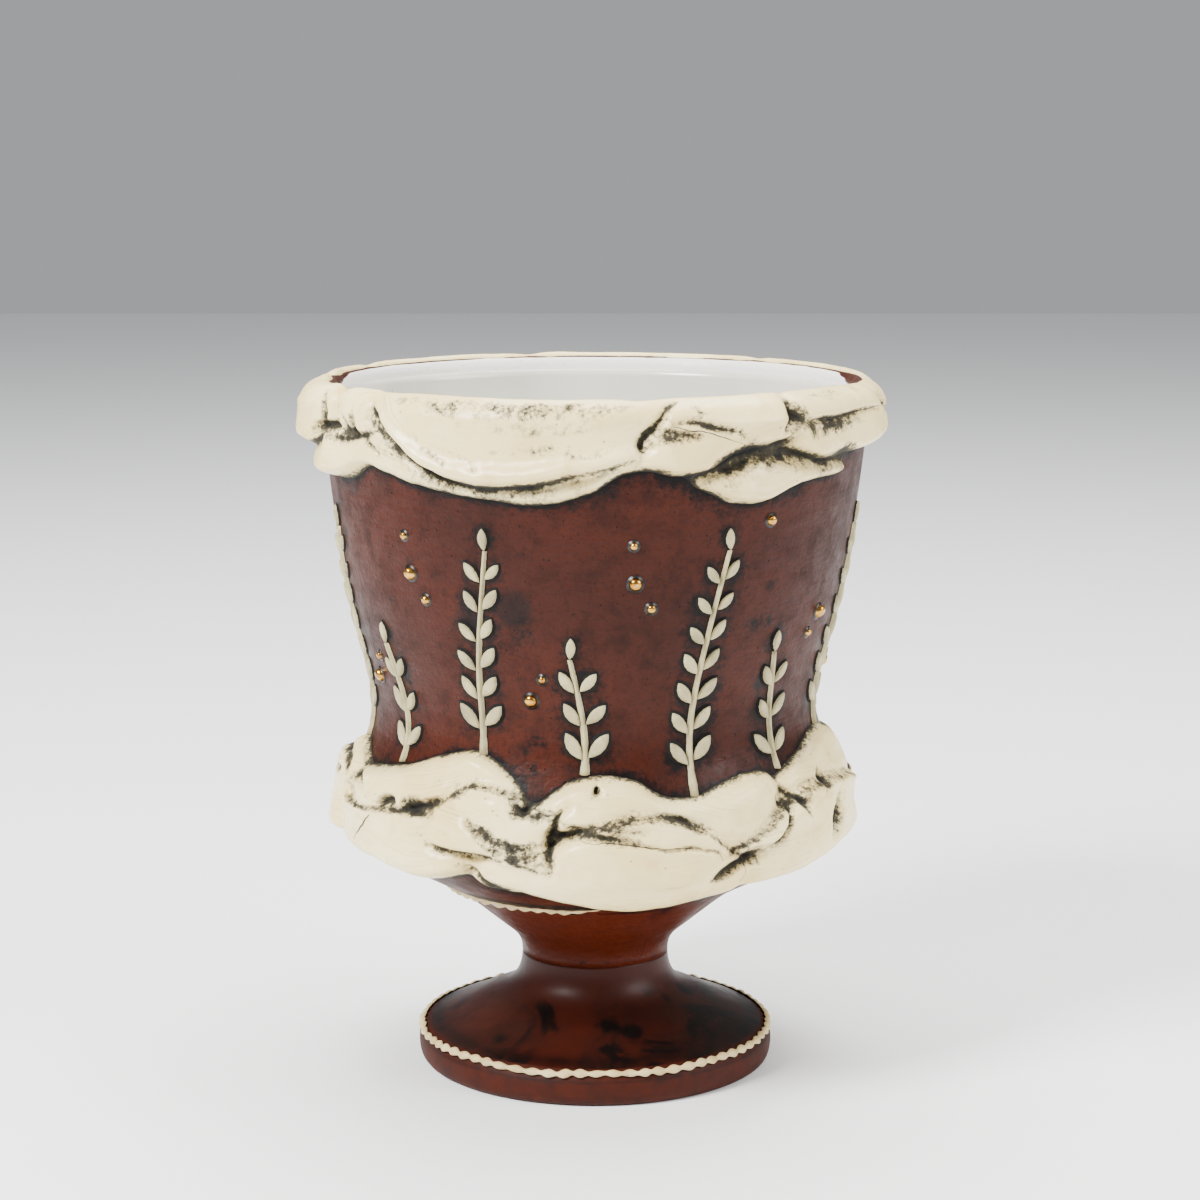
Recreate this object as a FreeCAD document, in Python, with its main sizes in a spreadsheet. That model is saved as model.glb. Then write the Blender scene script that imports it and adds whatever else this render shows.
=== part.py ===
# Footed drinking cup in red clay, dressed with folded strips of white clay.
#
# The cup is thrown in two parts, a waisted bowl and a hollow foot, that meet at the neck.
# Folded strips of white clay lie round the rim and the shoulder, one over the next.
# Rows of slip dabs run round the foot and the belly, leafy sprigs stand on the wall,
# and small gilded beads sit among them. Lengths are in millimetres and +Z is up.
# The origin is the middle of the ring that the foot stands on.
# A bearing is an angle in degrees round the axis, from the front (-Y) towards +X.
import FreeCAD, Part
import Sketcher
import math
import os

doc = FreeCAD.newDocument("footed_cup")
vector = FreeCAD.Vector
up = vector(0, 0, 1)

# Driving sizes

driving_sizes = {
    # bowl
    "cup_height": 127,
    "lip_radius": 49.8,
    "lip_round": 2.6,
    "wall_thickness": 3.5,
    "bell_swell": 1.0,
    "waist_radius": 40.5,
    "waist_height": 68,
    "shoulder_radius": 43.8,
    "shoulder_height": 51,
    "belly_radius": 29.4,
    "belly_height": 33.6,
    "floor_drop": 3.6,
    "glaze_thickness": 0.5,
    # foot
    "neck_radius": 13.6,
    "neck_height": 20,
    "foot_radius": 32.9,
    "foot_edge": 6.6,
    "foot_ring_width": 4.8,
    "foot_hollow_height": 13,
    "foot_hollow_radius": 8,
    "foot_hollow_rise": 6.4,
    # strips of white clay
    "rim_band": 17.5,
    "rim_fold": 3.7,
    "shoulder_band_gap": 4.9,
    "shoulder_band": 27,
    "shoulder_fold": 4.6,
    "strip_gap": 0.4,
    # slip dabs
    "foot_dab_width": 1.9,
    "foot_dab_depth": 0.9,
    "belly_dab_width": 1.7,
    "belly_dab_depth": 0.9,
    "dab_pitch": 2.9,
    # relief on the wall
    "relief_depth": 0.9,
    "relief_gap": 0.1,
    "leaf_length": 5.6,
    "leaf_width": 2.4,
    "leaf_pitch": 4.8,
    "stem_width": 1.0,
    "sprig_gap": 1.2,
    "bead_radius": 1.2,
}

sheet = doc.addObject("Spreadsheet::Sheet", "sizes")
for row, (alias, number) in enumerate(driving_sizes.items(), start=1):
    sheet.set(f"A{row}", alias)
    sheet.set(f"B{row}", str(number))
    sheet.setAlias(f"B{row}", alias)
doc.recompute()


def size(alias):
    return float(sheet.get(alias))


# Measures: each is a sum of named sizes, kept as {size: factor}, so that it can be
# read as a number and also bound to a sketch as a formula.

nothing = {}


def of(alias):
    return {alias: 1}


def plus(*measures):
    total = {}
    for measure in measures:
        for alias, factor in measure.items():
            total[alias] = total.get(alias, 0) + factor
    return total


def times(measure, factor):
    return {alias: factor * old for alias, old in measure.items()}


def minus(measure, other):
    return plus(measure, times(other, -1))


def towards(start, end, share):
    return plus(times(start, 1 - share), times(end, share))


def value(measure):
    return sum(factor * size(alias) for alias, factor in measure.items())


def formula(measure):
    return " + ".join(f"({factor}) * sizes.{alias}" for alias, factor in measure.items())


# Profiles of the thrown pieces, as poles of smooth curves. A place is (radius, height).

# From the neck out to the belly.
flare_shares = [(0, 0.22), (0.37, 0.3), (0.78, 0.74)]
# From the belly up to the shoulder, under the strips.
turn_shares = [(0.45, 0.27), (1.04, 0.62)]
# From the shoulder in to the waist.
tuck_shares = [(-0.18, 0.35), (0.9, 0.72)]
# From the waist up to the lip the wall leans out and swells a little.
# Each row is the share of the lean, of the swell and of the height.
bell_shares = [(-0.03, 0, 0.05), (0.2, 0.2, 0.2), (0.44, 1, 0.4), (0.72, 0.6, 0.66), (0.93, 0.1, 0.88)]
# The lip is a half round. A pole this far up brings its crest to the cup's height.
lip_pole_share = 4 / 3
# Under the shoulder the inside follows the turn and the belly a wall's distance off.
# Each row is the share of the wall that a pole of theirs moves in and that it moves up.
inset_shares = [(1, 0.3), (0.75, 0.8), (0.9, 0.5)]
# The floor inside, from the belly in to the axis: shares of the radius and of the rise.
floor_shares = [(0.62, 0.12), (0.3, 0)]

neck = (of("neck_radius"), of("neck_height"))
belly = (of("belly_radius"), of("belly_height"))
shoulder = (of("shoulder_radius"), of("shoulder_height"))
waist = (of("waist_radius"), of("waist_height"))
lip = (of("lip_radius"), minus(of("cup_height"), of("lip_round")))


def part_way(start, end, shares):
    """Places between two others, from rows of a radius share and a height share."""
    return [
        (towards(start[0], end[0], radius_share), towards(start[1], end[1], height_share))
        for radius_share, height_share in shares
    ]


def thinner(places, thickness):
    return [(minus(radius, thickness), height) for radius, height in places]


bell = [
    (
        plus(towards(waist[0], lip[0], lean_share), times(of("bell_swell"), swell_share)),
        towards(waist[1], lip[1], height_share),
    )
    for lean_share, swell_share, height_share in bell_shares
]
tuck = part_way(shoulder, waist, tuck_shares)
turn = part_way(belly, shoulder, turn_shares)
outside = [neck] + part_way(neck, belly, flare_shares) + [belly] + turn + [shoulder] + tuck + bell + [lip]

wall = of("wall_thickness")
side = thinner([lip] + bell[::-1] + tuck[::-1] + [shoulder], wall)
under_shoulder = [
    (minus(radius, times(wall, in_share)), plus(height, times(wall, up_share)))
    for (radius, height), (in_share, up_share) in zip(turn[::-1] + [belly], inset_shares)
]
floor_middle = (nothing, minus(belly[1], of("floor_drop")))
floor = under_shoulder + part_way(floor_middle, (minus(belly[0], wall), belly[1]), floor_shares)
inside = side + floor + [floor_middle]

lip_pole_height = plus(lip[1], times(of("lip_round"), lip_pole_share))
lip_roll = [lip, (lip[0], lip_pole_height), (side[0][0], lip_pole_height), side[0]]

# The foot, from the neck down: its top, its edge and the hollow under it.
foot_top_shares = [(0, 0.22), (0.1, 0.5), (0.42, 0.64), (0.72, 0.86)]
foot_shoulder_share = 0.945
foot_edge_shares = [(1.0, 0.86), (1.015, 0.3), (0.985, 0)]
foot_stand_share = 0.955
hollow_shares = [(0.97, 0.7), (0.82, 1.06), (0.5, 1.02)]

on_axis = (nothing, nothing)
stand = (times(of("foot_radius"), foot_stand_share), nothing)
ring_inside = (minus(stand[0], of("foot_ring_width")), nothing)
top_edge = (times(of("foot_radius"), foot_shoulder_share), of("foot_edge"))
foot_edge_places = (
    [top_edge] + part_way(on_axis, (of("foot_radius"), of("foot_edge")), foot_edge_shares) + [stand]
)

# Sketches and revolved bodies


def origin_plane(body, role):
    return [feature for feature in body.Origin.OriginFeatures if feature.Role == role][0]


def pin_down(sketch, geometry, point, place):
    """Binds a sketch point to its place, measured from the axis and from the ground."""
    for measure, direction, axis in ((place[0], "DistanceX", -2), (place[1], "DistanceY", -1)):
        if value(measure) == 0:
            sketch.addConstraint(Sketcher.Constraint("PointOnObject", geometry, point, axis))
        else:
            index = sketch.addConstraint(
                Sketcher.Constraint(direction, -1, 1, geometry, point, value(measure))
            )
            sketch.setExpression(f"Constraints[{index}]", formula(measure))


def flat_point(place):
    return vector(value(place[0]), value(place[1]), 0)


def smooth_curve(points):
    """A cubic curve that starts at the first pole and ends at the last."""
    degree = 3
    spans = len(points) - degree
    multiplicities = [degree + 1] + [1] * (spans - 1) + [degree + 1]
    curve = Part.BSplineCurve()
    curve.buildFromPolesMultsKnots(points, multiplicities, list(range(spans + 1)), False, degree)
    return curve


def draw_curve(sketch, places, meets_curve):
    """Draws a smooth curve with its poles bound to the sheet.

    Where it meets another curve, its last pole is left to the joint between them.
    """
    curve = sketch.addGeometry(smooth_curve([flat_point(place) for place in places]), False)
    first_pole = None
    for index, place in enumerate(places):
        pole = sketch.addGeometry(Part.Circle(flat_point(place), up, 1), True)
        sketch.addConstraint(
            Sketcher.Constraint("InternalAlignment:Sketcher::BSplineControlPoint", pole, 3, curve, index)
        )
        if first_pole is None:
            first_pole = pole
            sketch.addConstraint(Sketcher.Constraint("Weight", pole, 1))
        else:
            sketch.addConstraint(Sketcher.Constraint("Equal", first_pole, pole))
        if place is not places[-1] or not meets_curve:
            pin_down(sketch, pole, 3, place)
    return curve


def draw_line(sketch, start, end):
    return sketch.addGeometry(Part.LineSegment(flat_point(start), flat_point(end)), False)


def draw_outline(sketch, runs):
    """Draws a closed outline: a run of two places is a line, a longer one a curve."""
    followers = runs[1:] + runs[:1]
    edges = []
    for run, follower in zip(runs, followers):
        if len(run) == 2:
            edges.append(draw_line(sketch, *run))
        else:
            edges.append(draw_curve(sketch, run, len(follower) > 2))
    for run, follower, edge, next_edge in zip(runs, followers, edges, edges[1:] + edges[:1]):
        sketch.addConstraint(Sketcher.Constraint("Coincident", edge, 2, next_edge, 1))
        if len(run) == 2 and len(follower) == 2:
            pin_down(sketch, edge, 2, run[1])


def turned_body(label, runs):
    body = doc.addObject("PartDesign::Body", label)
    sketch = body.newObject("Sketcher::SketchObject", label + "_outline")
    sketch.AttachmentSupport = [(origin_plane(body, "XZ_Plane"), "")]
    sketch.MapMode = "FlatFace"
    draw_outline(sketch, runs)
    doc.recompute()
    turned = body.newObject("PartDesign::Revolution", label + "_turned")
    turned.Profile = sketch
    turned.ReferenceAxis = (sketch, ["V_Axis"])
    turned.Angle = 360
    sketch.Visibility = False
    return body


neck_middle = (nothing, neck[1])


def bowl():
    return turned_body(
        "bowl",
        [outside, lip_roll, inside, [floor_middle, neck_middle], [neck_middle, neck]],
    )


def liner_glaze():
    """The white glaze that coats the bowl inside, up to the turn of the lip."""
    glaze = of("glaze_thickness")
    coat = thinner(side, glaze)
    for radius, height in floor + [floor_middle]:
        thinning = value(radius) / value(side[-1][0])
        coat.append((minus(radius, times(glaze, thinning)), plus(height, glaze)))
    return turned_body(
        "liner_glaze",
        [inside, [floor_middle, coat[-1]], coat[::-1], [coat[0], inside[0]]],
    )


def foot():
    top = [neck] + part_way(neck, top_edge, foot_top_shares) + [top_edge]
    hollow = [ring_inside] + part_way(on_axis, (ring_inside[0], of("foot_hollow_rise")), hollow_shares)
    hollow += [
        (of("foot_hollow_radius"), of("foot_hollow_rise")),
        (of("foot_hollow_radius"), of("foot_hollow_height")),
        (nothing, of("foot_hollow_height")),
    ]
    return turned_body(
        "foot",
        [top, foot_edge_places, [stand, ring_inside], hollow, [hollow[-1], neck_middle], [neck_middle, neck]],
    )


# Applied clay is built of flat facets through rings of points on the wall

wall_curve = smooth_curve([flat_point(place) for place in outside])


def wall_parameter(height):
    """Where the wall's curve reaches a height, found by halving the curve's range."""
    low, high = wall_curve.FirstParameter, wall_curve.LastParameter
    for _ in range(32):
        middle = (low + high) / 2
        if wall_curve.value(middle).y < height:
            low = middle
        else:
            high = middle
    return low


def around(bearing, radius, height):
    angle = math.radians(bearing)
    return vector(radius * math.sin(angle), -radius * math.cos(angle), height)


def on_wall(bearing, height, standing_out):
    """A point on the bowl's outside, or on its line carried straight up past the lip."""
    radius = wall_curve.value(wall_parameter(height)).x
    return around(bearing, radius + standing_out, height)


def off_wall(bearing, height, distance):
    """A point square to the bowl's outside, and the direction that it lies in."""
    parameter = wall_parameter(height)
    place, along = wall_curve.value(parameter), wall_curve.tangent(parameter)[0]
    outward = around(bearing, along.y, -along.x)
    return around(bearing, place.x, place.y) + outward * distance, outward


def facet(*points):
    return Part.Face(Part.makePolygon(points + points[:1]))


def end_facets(ring):
    """Closes a ring of an even number of points, across from its first half to its second."""
    facets = []
    half = len(ring) // 2
    crossings = list(zip(ring[:half], ring[:half - 1:-1]))
    for (near, far), (near_after, far_after) in zip(crossings, crossings[1:]):
        facets.append(facet(near, near_after, far_after))
        facets.append(facet(near, far_after, far))
    return facets


def faceted_solid(rings):
    """A solid whose sides join each ring of points to the next, closed at both ends."""
    facets = end_facets(rings[0]) + end_facets(rings[-1])
    for ring, next_ring in zip(rings, rings[1:]):
        corners = zip(ring, ring[1:] + ring[:1], next_ring, next_ring[1:] + next_ring[:1])
        for near, near_after, far, far_after in corners:
            facets.append(facet(near, near_after, far_after))
            facets.append(facet(near, far_after, far))
    solid = Part.Solid(Part.Shell(facets))
    if solid.Volume < 0:
        solid.reverse()
    return solid


def add_feature(label, shape):
    feature = doc.addObject("Part::Feature", label)
    feature.Shape = shape
    return feature


# Folded strips of white clay
#
# A station is (bearing, low edge, high edge, thickness of the low roll, thickness of
# the high edge). The edges are shares of the band that the strip lies in, and the
# thicknesses are shares of the band's fold. Rim shares count down from the lip.

rim_swag_front_shares = [
    (-49, 0, 0.12, 0.35, 0.5), (-44, 0, 0.30, 0.7, 0.6), (-38, 0, 0.53, 0.9, 0.7),
    (-32, 0, 0.70, 1, 0.7), (-25, 0, 0.81, 1.05, 0.65), (-18, 0, 0.81, 1.05, 0.6),
    (-11, 0, 0.78, 1.05, 0.6), (-4, 0, 0.69, 1, 0.65), (3, 0, 0.61, 0.95, 0.7),
    (9, 0, 0.50, 0.8, 0.75), (14, 0, 0.30, 0.5, 0.6),
]
rim_fold_mid_shares = [
    (6, 0.1, 0.55, 0.4, 0.4), (11, 0.02, 0.66, 0.8, 0.6), (17, 0, 0.72, 0.95, 0.65),
    (22, 0, 0.66, 1, 0.7), (28, 0, 0.52, 1.05, 0.75), (34, 0, 0.45, 1.05, 0.8),
    (39, 0.02, 0.42, 0.9, 0.7), (42, 0.06, 0.38, 0.4, 0.4),
]
rim_fold_right_shares = [
    (37, 0.04, 0.46, 0.4, 0.4), (42, 0, 0.52, 0.9, 0.8), (49, -0.01, 0.62, 1, 0.85),
    (57, -0.01, 0.64, 1.05, 0.9), (66, -0.01, 0.62, 1.1, 0.9), (75, -0.01, 0.57, 1.1, 0.95),
    (83, 0, 0.52, 1, 0.85), (90, 0.03, 0.44, 0.6, 0.5),
]
rim_lobe_right_shares = [
    (17, 0.62, 0.78, 0.35, 0.3), (22, 0.5, 0.86, 0.8, 0.6), (28, 0.42, 0.99, 1, 0.7),
    (35, 0.42, 1, 1.05, 0.7), (42, 0.46, 0.9, 1, 0.65), (49, 0.5, 0.86, 0.9, 0.6),
    (57, 0.54, 0.84, 0.75, 0.5), (64, 0.58, 0.78, 0.4, 0.3),
]
rim_strip_front_shares = [
    (-74, 0.42, 0.70, 0.5, 0.5), (-70, 0.34, 0.84, 1.1, 1), (-64, 0.32, 0.88, 1.35, 1.3),
    (-58, 0.36, 0.84, 1.1, 1), (-52, 0.48, 0.70, 0.7, 0.6), (-46, 0.52, 0.76, 0.6, 0.5),
    (-38, 0.62, 0.85, 0.6, 0.5), (-30, 0.72, 0.91, 0.6, 0.5), (-22, 0.78, 0.95, 0.6, 0.5),
    (-14, 0.8, 0.99, 0.6, 0.5), (-7, 0.78, 0.95, 0.6, 0.5), (0, 0.70, 0.86, 0.55, 0.5),
    (7, 0.60, 0.7, 0.35, 0.3),
]
rim_knob_left_shares = [
    (-94, 0.05, 0.45, 0.5, 0.4), (-88, -0.02, 0.56, 1.1, 1), (-80, -0.05, 0.62, 1.35, 1.2),
    (-72, -0.04, 0.58, 1.3, 1.2), (-65, 0, 0.5, 0.9, 0.9), (-61, 0.06, 0.4, 0.4, 0.4),
]
rim_tab_left_shares = [
    (-64, 0, 0.42, 0.4, 0.4), (-58, -0.01, 0.46, 0.6, 0.6), (-52, -0.01, 0.4, 0.6, 0.6),
    (-46, 0, 0.32, 0.4, 0.4),
]
rim_swag_back_right_shares = [
    (84, 0.02, 0.46, 0.4, 0.4), (91, 0, 0.62, 0.9, 0.7), (100, 0, 0.78, 1.05, 0.7),
    (110, 0, 0.88, 1.1, 0.65), (120, 0, 0.84, 1.05, 0.65), (129, 0, 0.72, 1, 0.7),
    (137, 0.02, 0.56, 0.7, 0.6), (142, 0.06, 0.4, 0.4, 0.4),
]
rim_swag_back_shares = [
    (136, 0.04, 0.44, 0.4, 0.4), (143, 0, 0.6, 0.8, 0.6), (152, 0, 0.76, 1, 0.65),
    (162, 0, 0.88, 1.1, 0.65), (172, 0, 0.93, 1.1, 0.6), (182, 0, 0.86, 1.05, 0.65),
    (191, 0, 0.7, 0.95, 0.7), (198, 0.04, 0.5, 0.5, 0.4),
]
rim_swag_back_left_shares = [
    (193, 0.04, 0.4, 0.4, 0.4), (201, 0, 0.58, 0.85, 0.65), (210, 0, 0.72, 1, 0.7),
    (220, 0, 0.82, 1.05, 0.65), (230, 0, 0.76, 1, 0.65), (238, 0, 0.6, 0.9, 0.7),
    (245, 0.03, 0.44, 0.45, 0.4),
]
rim_fold_left_shares = [
    (240, 0.04, 0.44, 0.4, 0.4), (247, 0, 0.56, 0.9, 0.7), (255, 0, 0.66, 1, 0.8),
    (262, 0, 0.6, 0.95, 0.8), (268, 0.04, 0.48, 0.5, 0.4),
]
rim_lobe_back_right_shares = [
    (122, 0.5, 0.76, 0.35, 0.3), (129, 0.48, 0.9, 0.8, 0.6), (137, 0.46, 1, 1, 0.7),
    (145, 0.46, 0.98, 1, 0.65), (153, 0.5, 0.86, 0.8, 0.5), (160, 0.56, 0.76, 0.35, 0.3),
]
rim_lobe_back_left_shares = [
    (228, 0.48, 0.72, 0.4, 0.3), (235, 0.46, 0.88, 0.8, 0.6), (243, 0.44, 0.98, 1, 0.7),
    (251, 0.46, 0.95, 1, 0.65), (259, 0.5, 0.84, 0.8, 0.5), (266, 0.56, 0.74, 0.35, 0.3),
]

shoulder_slab_left_shares = [
    (-70, 0.50, 0.80, 0.5, 0.4), (-62, 0.5, 0.84, 0.8, 0.6), (-54, 0.5, 0.87, 0.9, 0.6),
    (-46, 0.52, 0.89, 0.9, 0.6), (-38, 0.56, 0.96, 0.9, 0.6), (-32, 0.62, 1, 0.9, 0.6),
    (-26, 0.70, 0.97, 0.9, 0.6), (-20, 0.66, 0.88, 0.8, 0.5), (-15, 0.62, 0.78, 0.45, 0.35),
]
shoulder_belly_left_shares = [
    (-80, 0.18, 0.50, 0.6, 0.5), (-72, 0.17, 0.52, 1, 0.8), (-63, 0.17, 0.53, 1.15, 0.85),
    (-54, 0.17, 0.55, 1.2, 0.9), (-46, 0.12, 0.57, 1.2, 0.9), (-40, 0.11, 0.58, 1.2, 0.9),
    (-34, 0.16, 0.62, 1.1, 0.8), (-28, 0.24, 0.64, 0.8, 0.6), (-23, 0.32, 0.62, 0.4, 0.4),
]
shoulder_twist_front_shares = [
    (-42, 0.45, 0.60, 0.5, 0.4), (-36, 0.42, 0.66, 0.9, 0.8), (-30, 0.38, 0.79, 1.1, 0.8),
    (-24, 0.35, 0.81, 1.15, 0.8), (-18, 0.33, 0.76, 1.1, 0.8), (-12, 0.33, 0.68, 0.9, 0.7),
    (-7, 0.38, 0.60, 0.5, 0.4),
]
shoulder_slab_front_shares = [
    (-31, 0.24, 0.32, 0.4, 0.3), (-25, 0.16, 0.36, 0.9, 0.7), (-18, 0.12, 0.39, 1.2, 0.9),
    (-11, 0.09, 0.42, 1.3, 1), (-4, 0.05, 0.56, 1.3, 1.1), (3, 0.02, 0.63, 1.35, 1.1),
    (10, 0.02, 0.65, 1.35, 1.1), (17, 0.04, 0.62, 1.3, 1.1), (24, 0.06, 0.54, 1.2, 1),
    (31, 0.09, 0.38, 1.1, 0.8), (38, 0.10, 0.25, 0.6, 0.5),
]
shoulder_slab_right_shares = [
    (-16, 0.62, 0.68, 0.4, 0.3), (-11, 0.56, 0.76, 0.9, 0.6), (-5, 0.55, 0.86, 1, 0.6),
    (2, 0.55, 0.89, 1, 0.6), (9, 0.55, 0.85, 1, 0.6), (16, 0.5, 0.76, 1, 0.6),
    (23, 0.42, 0.74, 1.05, 0.7), (30, 0.36, 0.79, 1.1, 0.7), (37, 0.34, 0.83, 1.1, 0.7),
    (44, 0.40, 0.82, 0.9, 0.6), (49, 0.5, 0.76, 0.5, 0.4),
]
shoulder_belly_right_shares = [
    (24, 0.20, 0.30, 0.3, 0.3), (31, 0.16, 0.40, 0.9, 0.7), (38, 0.17, 0.50, 1.15, 0.9),
    (45, 0.15, 0.62, 1.25, 1), (53, 0.16, 0.68, 1.25, 1), (62, 0.20, 0.70, 1.2, 1),
    (72, 0.22, 0.68, 1.15, 0.9), (82, 0.24, 0.62, 1, 0.8), (90, 0.30, 0.54, 0.5, 0.5),
]
shoulder_peak_right_shares = [
    (44, 0.62, 0.80, 0.4, 0.3), (51, 0.60, 0.90, 0.8, 0.5), (58, 0.58, 0.97, 1, 0.6),
    (65, 0.58, 1, 1.05, 0.6), (72, 0.58, 0.92, 1, 0.6), (80, 0.55, 0.84, 0.9, 0.6),
    (88, 0.52, 0.78, 0.5, 0.4),
]
shoulder_strip_front_shares = [
    (-31, 0.19, 0.27, 0.4, 0.3), (-26, 0.12, 0.24, 0.7, 0.5), (-21, 0.09, 0.2, 0.7, 0.5),
    (-15, 0.08, 0.14, 0.35, 0.3),
]
shoulder_lump_left_shares = [
    (-110, 0.3, 0.55, 0.5, 0.4), (-102, 0.24, 0.66, 0.95, 0.7), (-94, 0.2, 0.74, 1.15, 0.8),
    (-86, 0.2, 0.78, 1.2, 0.8), (-78, 0.2, 0.74, 1.1, 0.7), (-71, 0.24, 0.62, 0.6, 0.5),
]
shoulder_peak_left_shares = [
    (-92, 0.66, 0.84, 0.4, 0.4), (-85, 0.62, 0.96, 0.8, 0.6), (-78, 0.62, 1.02, 0.9, 0.6),
    (-71, 0.64, 0.94, 0.8, 0.5), (-65, 0.68, 0.86, 0.4, 0.3),
]
shoulder_slab_back_right_shares = [
    (84, 0.5, 0.76, 0.5, 0.4), (93, 0.48, 0.86, 0.9, 0.6), (103, 0.46, 0.93, 1, 0.6),
    (113, 0.5, 0.9, 1, 0.6), (123, 0.54, 0.84, 0.95, 0.6), (133, 0.52, 0.88, 1, 0.6),
    (142, 0.5, 0.86, 0.8, 0.5), (149, 0.52, 0.74, 0.4, 0.3),
]
shoulder_belly_back_right_shares = [
    (86, 0.26, 0.5, 0.5, 0.4), (95, 0.18, 0.58, 1.15, 0.9), (105, 0.12, 0.6, 1.3, 1),
    (116, 0.1, 0.58, 1.3, 1), (127, 0.13, 0.55, 1.2, 0.95), (137, 0.18, 0.5, 1, 0.8),
    (145, 0.26, 0.42, 0.5, 0.4),
]
shoulder_slab_back_shares = [
    (143, 0.56, 0.7, 0.4, 0.3), (151, 0.5, 0.84, 0.9, 0.6), (161, 0.48, 0.94, 1, 0.6),
    (171, 0.46, 1, 1.05, 0.6), (181, 0.48, 0.95, 1, 0.6), (191, 0.52, 0.87, 0.95, 0.6),
    (200, 0.54, 0.8, 0.8, 0.5), (208, 0.58, 0.7, 0.4, 0.3),
]
shoulder_belly_back_shares = [
    (140, 0.24, 0.36, 0.4, 0.3), (149, 0.14, 0.5, 1, 0.8), (159, 0.07, 0.58, 1.25, 1),
    (170, 0.04, 0.6, 1.35, 1.05), (181, 0.05, 0.57, 1.3, 1), (192, 0.09, 0.54, 1.2, 0.95),
    (202, 0.15, 0.5, 1, 0.8), (210, 0.24, 0.4, 0.45, 0.4),
]
shoulder_slab_back_left_shares = [
    (202, 0.52, 0.72, 0.4, 0.3), (210, 0.5, 0.86, 0.9, 0.6), (220, 0.48, 0.92, 1, 0.6),
    (230, 0.5, 0.88, 1, 0.6), (240, 0.54, 0.82, 0.95, 0.6), (248, 0.52, 0.88, 0.9, 0.5),
    (256, 0.54, 0.8, 0.6, 0.4), (262, 0.58, 0.72, 0.3, 0.3),
]
shoulder_belly_back_left_shares = [
    (204, 0.24, 0.4, 0.4, 0.4), (213, 0.15, 0.54, 1.1, 0.9), (223, 0.1, 0.58, 1.25, 1),
    (234, 0.12, 0.56, 1.25, 1), (244, 0.16, 0.52, 1.1, 0.9), (252, 0.22, 0.44, 0.5, 0.4),
]

# In the order that they were laid on, the lowest first.
rim_strips = {
    "rim_strip_front": rim_strip_front_shares,
    "rim_lobe_right": rim_lobe_right_shares,
    "rim_lobe_back_right": rim_lobe_back_right_shares,
    "rim_lobe_back_left": rim_lobe_back_left_shares,
    "rim_tab_left": rim_tab_left_shares,
    "rim_fold_left": rim_fold_left_shares,
    "rim_swag_back_left": rim_swag_back_left_shares,
    "rim_swag_back": rim_swag_back_shares,
    "rim_swag_back_right": rim_swag_back_right_shares,
    "rim_fold_right": rim_fold_right_shares,
    "rim_fold_mid": rim_fold_mid_shares,
    "rim_swag_front": rim_swag_front_shares,
    "rim_knob_left": rim_knob_left_shares,
}
shoulder_strips = {
    "shoulder_slab_left": shoulder_slab_left_shares,
    "shoulder_peak_left": shoulder_peak_left_shares,
    "shoulder_strip_front": shoulder_strip_front_shares,
    "shoulder_slab_right": shoulder_slab_right_shares,
    "shoulder_peak_right": shoulder_peak_right_shares,
    "shoulder_slab_back_right": shoulder_slab_back_right_shares,
    "shoulder_slab_back": shoulder_slab_back_shares,
    "shoulder_slab_back_left": shoulder_slab_back_left_shares,
    "shoulder_lump_left": shoulder_lump_left_shares,
    "shoulder_belly_left": shoulder_belly_left_shares,
    "shoulder_belly_back_right": shoulder_belly_back_right_shares,
    "shoulder_belly_back": shoulder_belly_back_shares,
    "shoulder_belly_back_left": shoulder_belly_back_left_shares,
    "shoulder_twist_front": shoulder_twist_front_shares,
    "shoulder_belly_right": shoulder_belly_right_shares,
    "shoulder_slab_front": shoulder_slab_front_shares,
}

# Round a strip's section: the place from the low edge (0) to the high edge (1), and how
# far it stands out, as a share of the thickness there.
strip_front_shares = [
    (-0.025, 0.38), (-0.03, 0.82), (0.07, 1.1), (0.3, 1), (0.58, 0.86), (0.84, 0.95),
    (0.98, 0.84), (1.02, 0.38),
]
strip_back_shares = [1, 0.72, 0.5, 0.3, 0.13, 0]
# Across the room that a strip takes from those laid under it, and how far out that
# reaches, as a share of the band's fold: past the front of any strip.
strip_room_shares = [-0.05, 0.2, 0.5, 0.8, 1.04]
strip_room_reach_share = 2
# What a strip keeps once those over it are cut away: pieces of at least this share of it.
kept_piece_share = 0.06


def strip_section(bearing, low, high, roll, edge):
    """The closed section of a strip at a bearing, first its front and then its back."""
    gap = size("strip_gap")
    rise = high - low
    ring = []
    for across_share, depth_share in strip_front_shares:
        depth = depth_share * (roll + across_share * (edge - roll))
        ring.append(on_wall(bearing, low + across_share * rise, gap + depth))
    for across_share in strip_back_shares:
        ring.append(on_wall(bearing, low + across_share * rise, gap))
    return tuple(ring)


def strip_room(bearing, low, high, reach):
    """The closed section of the room that a strip takes, from within the wall outwards."""
    heights = [low + across_share * (high - low) for across_share in strip_room_shares]
    outer = [on_wall(bearing, height, reach) for height in heights]
    inner = [on_wall(bearing, height, -size("strip_gap")) for height in reversed(heights)]
    return tuple(outer + inner)


def rim_stations(shares):
    lip_top, band, fold = size("cup_height"), size("rim_band"), size("rim_fold")
    return [
        (bearing, lip_top - low_share * band, lip_top - top_share * band, roll_share * fold, edge_share * fold)
        for bearing, top_share, low_share, roll_share, edge_share in shares
    ]


shoulder_band_low = size("belly_height") + size("shoulder_band_gap")


def shoulder_stations(shares):
    band, fold = size("shoulder_band"), size("shoulder_fold")
    return [
        (
            bearing,
            shoulder_band_low + low_share * band,
            shoulder_band_low + high_share * band,
            roll_share * fold,
            edge_share * fold,
        )
        for bearing, low_share, high_share, roll_share, edge_share in shares
    ]


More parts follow.
